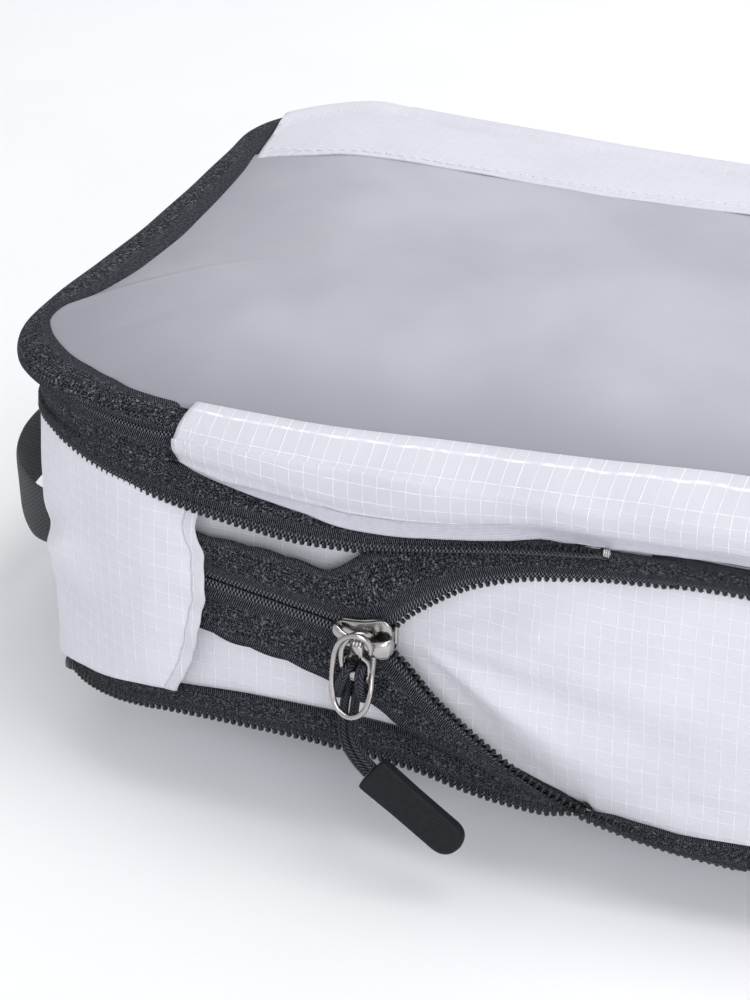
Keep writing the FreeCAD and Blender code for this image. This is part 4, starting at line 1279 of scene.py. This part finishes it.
def slider_plate(pile, place_at, y0, y1):
    """One plate of a slider: wide shoulders at its mouth and a narrow tail, with rounded edges."""
    half = ((-6.5, 0.0), (-6.4, 2.2), (-5.6, 3.1), (-2.5, 3.4), (0.5, 3.9), (3.2, 4.8), (4.8, 5.0),
            (6.0, 4.1), (6.5, 2.2), (6.5, 0.0))
    top = resample(half, 30)
    outline = np.vstack([top, top[-2:0:-1] * [1, -1]])
    middle = outline.mean(0)
    levels = np.linspace(0, 1, 9)
    rows = []
    for share in levels:
        edge = 1 - 0.09 * (2 * abs(share - 0.5)) ** 5
        rows.append(np.concatenate([middle + (outline - middle) * edge,
                                    np.full((len(outline), 1), y0 + (y1 - y0) * share)], axis=1))
    rows = [np.concatenate([np.tile(middle, (len(outline), 1)), rows[0][:, 2:]], axis=1)] + rows
    rows.append(np.concatenate([np.tile(middle, (len(outline), 1)), rows[-1][:, 2:]], axis=1))
    grid = np.stack(rows, axis=1)[..., [0, 2, 1]]
    pile.grid(place_at(grid), np.zeros((len(outline) + 1, len(rows), 2)) + 0.1, closed=True)


def crown(pile, place_at):
    """The bent strap that the pull hangs from: a lug at the slider's tail, a lobe at its mouth."""
    count = 72
    share = np.linspace(0, 1, count)
    path = resample(((6.3, -4.6), (6.9, -5.7), (6.3, -7.0), (4.4, -7.9), (1.6, -8.15), (-1.2, -7.9),
                     (-3.6, -7.75), (-5.6, -7.5), (-6.5, -6.6), (-6.2, -5.4), (-5.2, -4.7)), count)
    half = ease(share, ((0, 2.1), (0.12, 2.4), (0.26, 2.2), (0.4, 1.4), (0.55, 1.1), (0.68, 1.25),
                        (0.8, 1.55), (0.9, 1.5), (1, 1.3)))
    middle = ease(share, ((0, -0.3), (0.14, -0.9), (0.28, -1.0), (0.42, -0.3), (0.56, 0.1), (0.7, 0.9),
                          (0.82, 1.9), (0.92, 1.8), (1, 0.9)))
    tangent = unit(np.gradient(path, axis=0))
    out = np.stack([tangent[:, 1], -tangent[:, 0]], axis=1)
    angle = np.linspace(0, 2 * math.pi, 24, endpoint=False)
    across = squarish(np.cos(angle), 0.6)
    face = squarish(np.sin(angle), 0.7)
    dish = 0.55 * (across[:, None] ** 2 - 0.4) * np.sin(math.pi * share)[None] ** 0.5
    thick = face[:, None] * 0.42 + dish
    x = path[None, :, 0] + out[None, :, 0] * thick
    y = path[None, :, 1] + out[None, :, 1] * thick
    z = middle[None] + across[:, None] * half[None]
    pile.grid(place_at(np.stack([x, y, z], axis=-1)), np.zeros((25, count, 2)) + 0.1, closed=True)


def slider(name, body, place_at, post):
    """A slider: two plates, the rails between them, its post, and its crown."""
    pile = Pile()
    slider_plate(pile, place_at, 0.0, -1.1)
    slider_plate(pile, place_at, -3.9, -5.0)
    for side in (-1, 1):
        rail = np.array([(-5.4, -1.0, side * 2.9), (-1.5, -1.0, side * 3.2), (1.8, -1.0, side * 4.0),
                         (4.4, -1.0, side * 4.5)])
        for y in (-1.3, -3.7):
            line = resample(rail, 20)
            line[:, 1] = y
            pile.tube(place_at(line), 0.5, 6)
    line = np.stack([np.linspace(1.2, 5.9, 12), np.full(12, -2.5), np.zeros(12)], axis=1)
    pile.tube(place_at(line), post / 2, 10)
    crown(pile, place_at)
    fixed(pile.piece(name + "_metal", METAL, "slider_metal", cap=True, merge=0.01), body, name)


RING = ((-2.7, -3.7, -4.6), (-3.2, -3.6, -2.2), (-3.0, -3.0, 0.8), (-1.4, -1.6, 2.9), (1.2, 0.0, 2.9),
        (2.5, 1.5, 1.3), (2.8, 1.6, -1.3), (3.3, 0.1, -3.9), (3.8, -2.4, -6.6), (4.2, -4.2, -10.2),
        (3.2, -5.4, -14.6), (-0.2, -5.9, -16.6), (-3.7, -5.4, -14.6), (-4.9, -4.5, -10.2), (-4.9, -4.0, -5.0),
        (-4.4, -3.7, 0.0), (-2.6, -3.5, 3.0), (0.4, -3.1, 4.0), (2.7, -2.5, 2.8), (3.5, -2.1, 0.8),
        (3.3, -1.9, -1.2))


def pull_ring(name, body, hang):
    """The long wire ring, its ends tapered."""
    path = nurbs(RING, 8)
    count = np.arange(len(path))
    radius = 0.66 * (1 - 0.25 * (1 - step(np.minimum(count, count[::-1]), 0, 6)))
    made = Pile().tube(hang(path), radius, 12).piece(name + "_wire", METAL, "slider_metal", cap=True)
    fixed(made, body, name)


def pull_plate(name, body, hang):
    """A small flat link: an eye round the crown, and a slotted plate that the cord is hitched through."""
    pile = Pile()
    outline = np.array([(-1.4, 0.6), (-1.45, -1.8), (-2.9, -2.9), (-3.3, -4.2), (-3.3, -7.6), (-2.7, -8.6),
                        (2.7, -8.6), (3.3, -7.6), (3.3, -4.2), (2.9, -2.9), (1.45, -1.8), (1.4, 0.6)])
    hole = np.array([(-0.8, -2.6), (-1.3, -2.9), (-2.3, -3.7), (-2.45, -4.2), (-2.45, -5.8), (-2.2, -6.2),
                     (2.2, -6.2), (2.45, -5.8), (2.45, -4.2), (2.3, -3.7), (1.3, -2.9), (0.8, -2.6)])
    front, back = -2.4, -1.5
    loops = [(hole, front + 0.12), (hole * 0.97 + outline * 0.03, front),
             (outline * 0.94 + hole * 0.06, front),
             (outline, front + 0.14), (outline, back - 0.14), (outline * 0.94 + hole * 0.06, back),
             (hole * 0.97 + outline * 0.03, back), (hole, back - 0.12), (hole, front + 0.12)]
    grid = np.stack([np.stack([a[:, 0], np.full(12, y), a[:, 1]], axis=1) for a, y in loops], axis=1)
    pile.grid(hang(grid), np.zeros((13, 9, 2)) + 0.1, closed=True)
    turn = np.linspace(-0.35 * math.pi, 1.35 * math.pi, 30)
    for share in (-0.75, 0.0, 0.75):
        around = turn * 0.95 + 0.25
        ring = np.stack([np.full(30, share), -1.95 * np.sin(around), 1.95 * np.cos(around)], axis=1)
        pile.tube(hang(ring), 0.42, 8)
    fixed(pile.piece(name + "_metal", METAL, "slider_metal", cap=True, merge=0.01), body, name)


PLATE_Y = -1.95                                    # the pull's plate, from the crown's axis
CORD_BACK = 2.6                                    # from the plate's middle to the cord's, on each face
HITCH_Z = -4.9                                     # the slot that the cord goes through
TAB_Y = -6.5                                       # the rubber tab's middle, from the crown's axis


def half_route(side, tab_top):
    """One strand of the hitch, near the CAD model's: from the tab, through the plate, and round behind."""
    behind, front = PLATE_Y + CORD_BACK, PLATE_Y - CORD_BACK
    x, z = tab_top
    lean = -2.6 if x else 0.0
    across, up = (0.75, 0.9) if x else (1.15, 0.0)
    return [(x + side * across, TAB_Y, z + side * up),
            (x * 0.15 + lean * 0.6 + side * 1.15, TAB_Y + 0.7, z * 0.84 + side * 0.5),
            (lean + side * 1.25, behind - 0.6, HITCH_Z - 13.6),
            (lean * 0.7 + side * 1.2, behind + 0.1, HITCH_Z - 6.6),
            (side * 1.2, behind, HITCH_Z - 0.2),
            (side * 1.5, front, HITCH_Z + 0.2),
            (lean * 0.3 + side * 2.5, front + 0.2, HITCH_Z - 4.9),
            (lean * 0.5 + side * 3.1, front + 1.9, HITCH_Z - 7.9),
            (lean * 0.5 + side * 3.0, behind + 2.3, HITCH_Z - 10.2)]


def pull_cord(name, body, hang, tab_top):
    """The braided cord, both strands of its hitch."""
    route = hang(np.array(half_route(-1, tab_top) + half_route(1, tab_top)[::-1]))
    path = nurbs(route, 12)
    made = Pile().tube(path, 1.08, 14).piece(name + "_braid", CORD, "cord", cap=True)
    fixed(made, body, name)


def pull_tab(name, body, hang, tab_top, angle):
    """A flat moulded rubber tab with a round free end."""
    length, half, thick = 26.5, 5.0, 1.8
    end = 1 - 0.2 * np.linspace(1, 0, 14)[1:] ** 2
    x = np.concatenate([np.linspace(0, 0.12, 5), np.linspace(0.18, 0.8, 16), end]) * length
    tip = np.clip((x - (length - 4.6)) / 4.6, 0, 1)
    wide = (half - 0.5 * step(x, 0, 12) * 0.6) * np.sqrt(np.maximum(1 - tip ** 2.2, 0.0004))
    square = 1 - 0.22 * (1 - step(x, 0, 1.0))
    deep = thick * np.sqrt(np.maximum(1 - tip ** 5, 0.02)) * square
    angle_round = np.linspace(0, 2 * math.pi, 40, endpoint=False)
    across = squarish(np.cos(angle_round), 0.42)
    face = squarish(np.sin(angle_round), 0.42)
    z = across[:, None] * wide[None] * (0.97 + 0.03 * square)
    y = face[:, None] * deep[None] * (1 - 0.10 * (1 - across[:, None] ** 4))
    down = math.radians(angle)
    lx = np.broadcast_to(x[None], z.shape)
    points = np.stack([tab_top[0] + lx * math.cos(down) + z * math.sin(down), TAB_Y + y,
                       tab_top[1] - lx * math.sin(down) + z * math.cos(down)], axis=-1)
    uv = np.stack([lx, z], axis=-1)
    uv = np.concatenate([uv, uv[:1]])
    pile = Pile().grid(hang(points), uv, closed=True)
    made = pile.piece(name + "_rubber", RUBBER, "rubber_tab", cap=True, subdivide=1)
    fixed(made, body, name)
    return made


def pull(name, body, place_at, tab_top, angle):
    """A whole pull, hung from its slider's crown."""
    def hang(points):
        return place_at(points + np.array([0.0, CROWN_Y, 0.0]))

    pull_ring(name + "_ring", body, hang)
    pull_plate(name + "_plate", body, hang)
    tab = pull_tab(name + "_tab", body, hang, tab_top, angle)
    pull_cord(name + "_cord", body, hang, tab_top)


def crimp(name, s, offset, z, body):
    """A small metal crimp round the end of a coil."""
    turn = np.linspace(0, 2 * math.pi, 20)
    pile = Pile()
    for shift in (-0.5, 0.0, 0.5):
        pile.tube(place(s + shift, offset + 0.55 * np.sin(turn), z + 0.8 * np.cos(turn)), 0.3, 8)
    fixed(pile.piece(name + "_crimp", METAL, "slider_metal"), body, name)


def end_stops():
    """The crimps at the compression zip's two ends; the other stops keep the CAD model's shape."""
    end = ROUND + 14.4
    crimp("upper_end_stop", 14.6, float(upper_tape_offset(end - 1, upper_coil_z(end))) - 1.0,
          float(upper_coil_z(end)) + 0.5, "upper")
    crimp("lower_end_stop", 14.6, float(lower_tape_offset(end, lower_coil_z(end))) - 0.55,
          float(lower_coil_z(end)) + 1.0, "base")
    for name in ("start_stop", "main_zip_end_stops"):
        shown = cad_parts[name]
        shown.data.materials.clear()
        shown.data.materials.append(METAL)
        add_modifier(shown, "BEVEL", width=0.3 * MM, segments=2)


# ---- room --------------------------------------------------------------------------------------

def floor():
    """A pale paper floor that reaches out of sight."""
    material, tree, shader = new_material("floor_paper", 0.7)
    grain = noise(tree, in_space(tree), 0.02, 3.0)
    colour = mix(tree, grain, (0.86, 0.86, 0.87), (0.90, 0.90, 0.905))
    finish_material(tree, shader, colour, relief(tree, grain, 0.02))
    bpy.ops.mesh.primitive_plane_add(size=8.0, location=(0, 0, -0.0004))
    made = bpy.context.object
    made.name = "floor"
    made.data.materials.append(material)


def soft_light(name, place_m, aim_m, size, power):
    """A round area light that faces a place."""
    data = bpy.data.lights.new(name, "AREA")
    data.shape, data.size, data.energy = "DISK", size, power
    made = bpy.data.objects.new(name, data)
    made.location = place_m
    made.rotation_euler = (Vector(aim_m) - Vector(place_m)).to_track_quat("-Z", "Y").to_euler()
    bpy.context.scene.collection.objects.link(made)


def room():
    """The floor, the world's light and three soft lights."""
    floor()
    world = bpy.data.worlds.new("studio")
    bpy.context.scene.world = world
    world.use_nodes = True
    world.node_tree.nodes["Background"].inputs[0].default_value = (0.95, 0.965, 1.0, 1)
    world.node_tree.nodes["Background"].inputs[1].default_value = 0.80
    soft_light("key", (0.35, -0.15, 0.95), (0.0, 0.0, 0.05), 0.7, 4.2)
    soft_light("back", (0.35, 0.8, 0.7), (-0.05, 0.0, 0.08), 0.6, 2.4)
    soft_light("front", (0.55, -0.95, 0.45), (0.0, -0.05, 0.05), 0.6, 3.6)
    bpy.context.scene.view_settings.view_transform = "Standard"
    bpy.context.scene.view_settings.exposure = 0.0


def camera():
    """The view: 21 degrees round from the -Y side towards +X, and 29.5 degrees up."""
    azimuth, elevation, distance = math.radians(21.0), math.radians(29.5), 0.700
    target = Vector((-0.060, -0.060, 0.071))
    back = Vector((math.sin(azimuth) * math.cos(elevation), -math.cos(azimuth) * math.cos(elevation),
                   math.sin(elevation)))
    data = bpy.data.cameras.new("camera")
    data.lens, data.sensor_width = 108.0, 36.0
    data.shift_x, data.shift_y = 0.037, 0.005
    data.clip_start = 0.02
    made = bpy.data.objects.new("camera", data)
    made.location = target + back * distance
    made.rotation_euler = (-back).to_track_quat("-Z", "Y").to_euler()
    bpy.context.scene.collection.objects.link(made)
    bpy.context.scene.camera = made


camera()
room()
pull("compression_pull", "compression_pull", near_place, (5.2, -28.8), 36.0)
pull("main_pull", "main_pull", far_place, (0.0, -32.0), 90.0)
slider("compression_slider_body", "compression_slider", near_place, 3.0)
slider("main_slider_body", "main_slider", far_place, 0.6)
gusset()
flap()
bottom()
upper_zip()
lower_zip()
main_zip()
zip_start()
hinge_strip()
lid_top()
label_strip()
bindings()
handle()
bartacks()
end_stops()
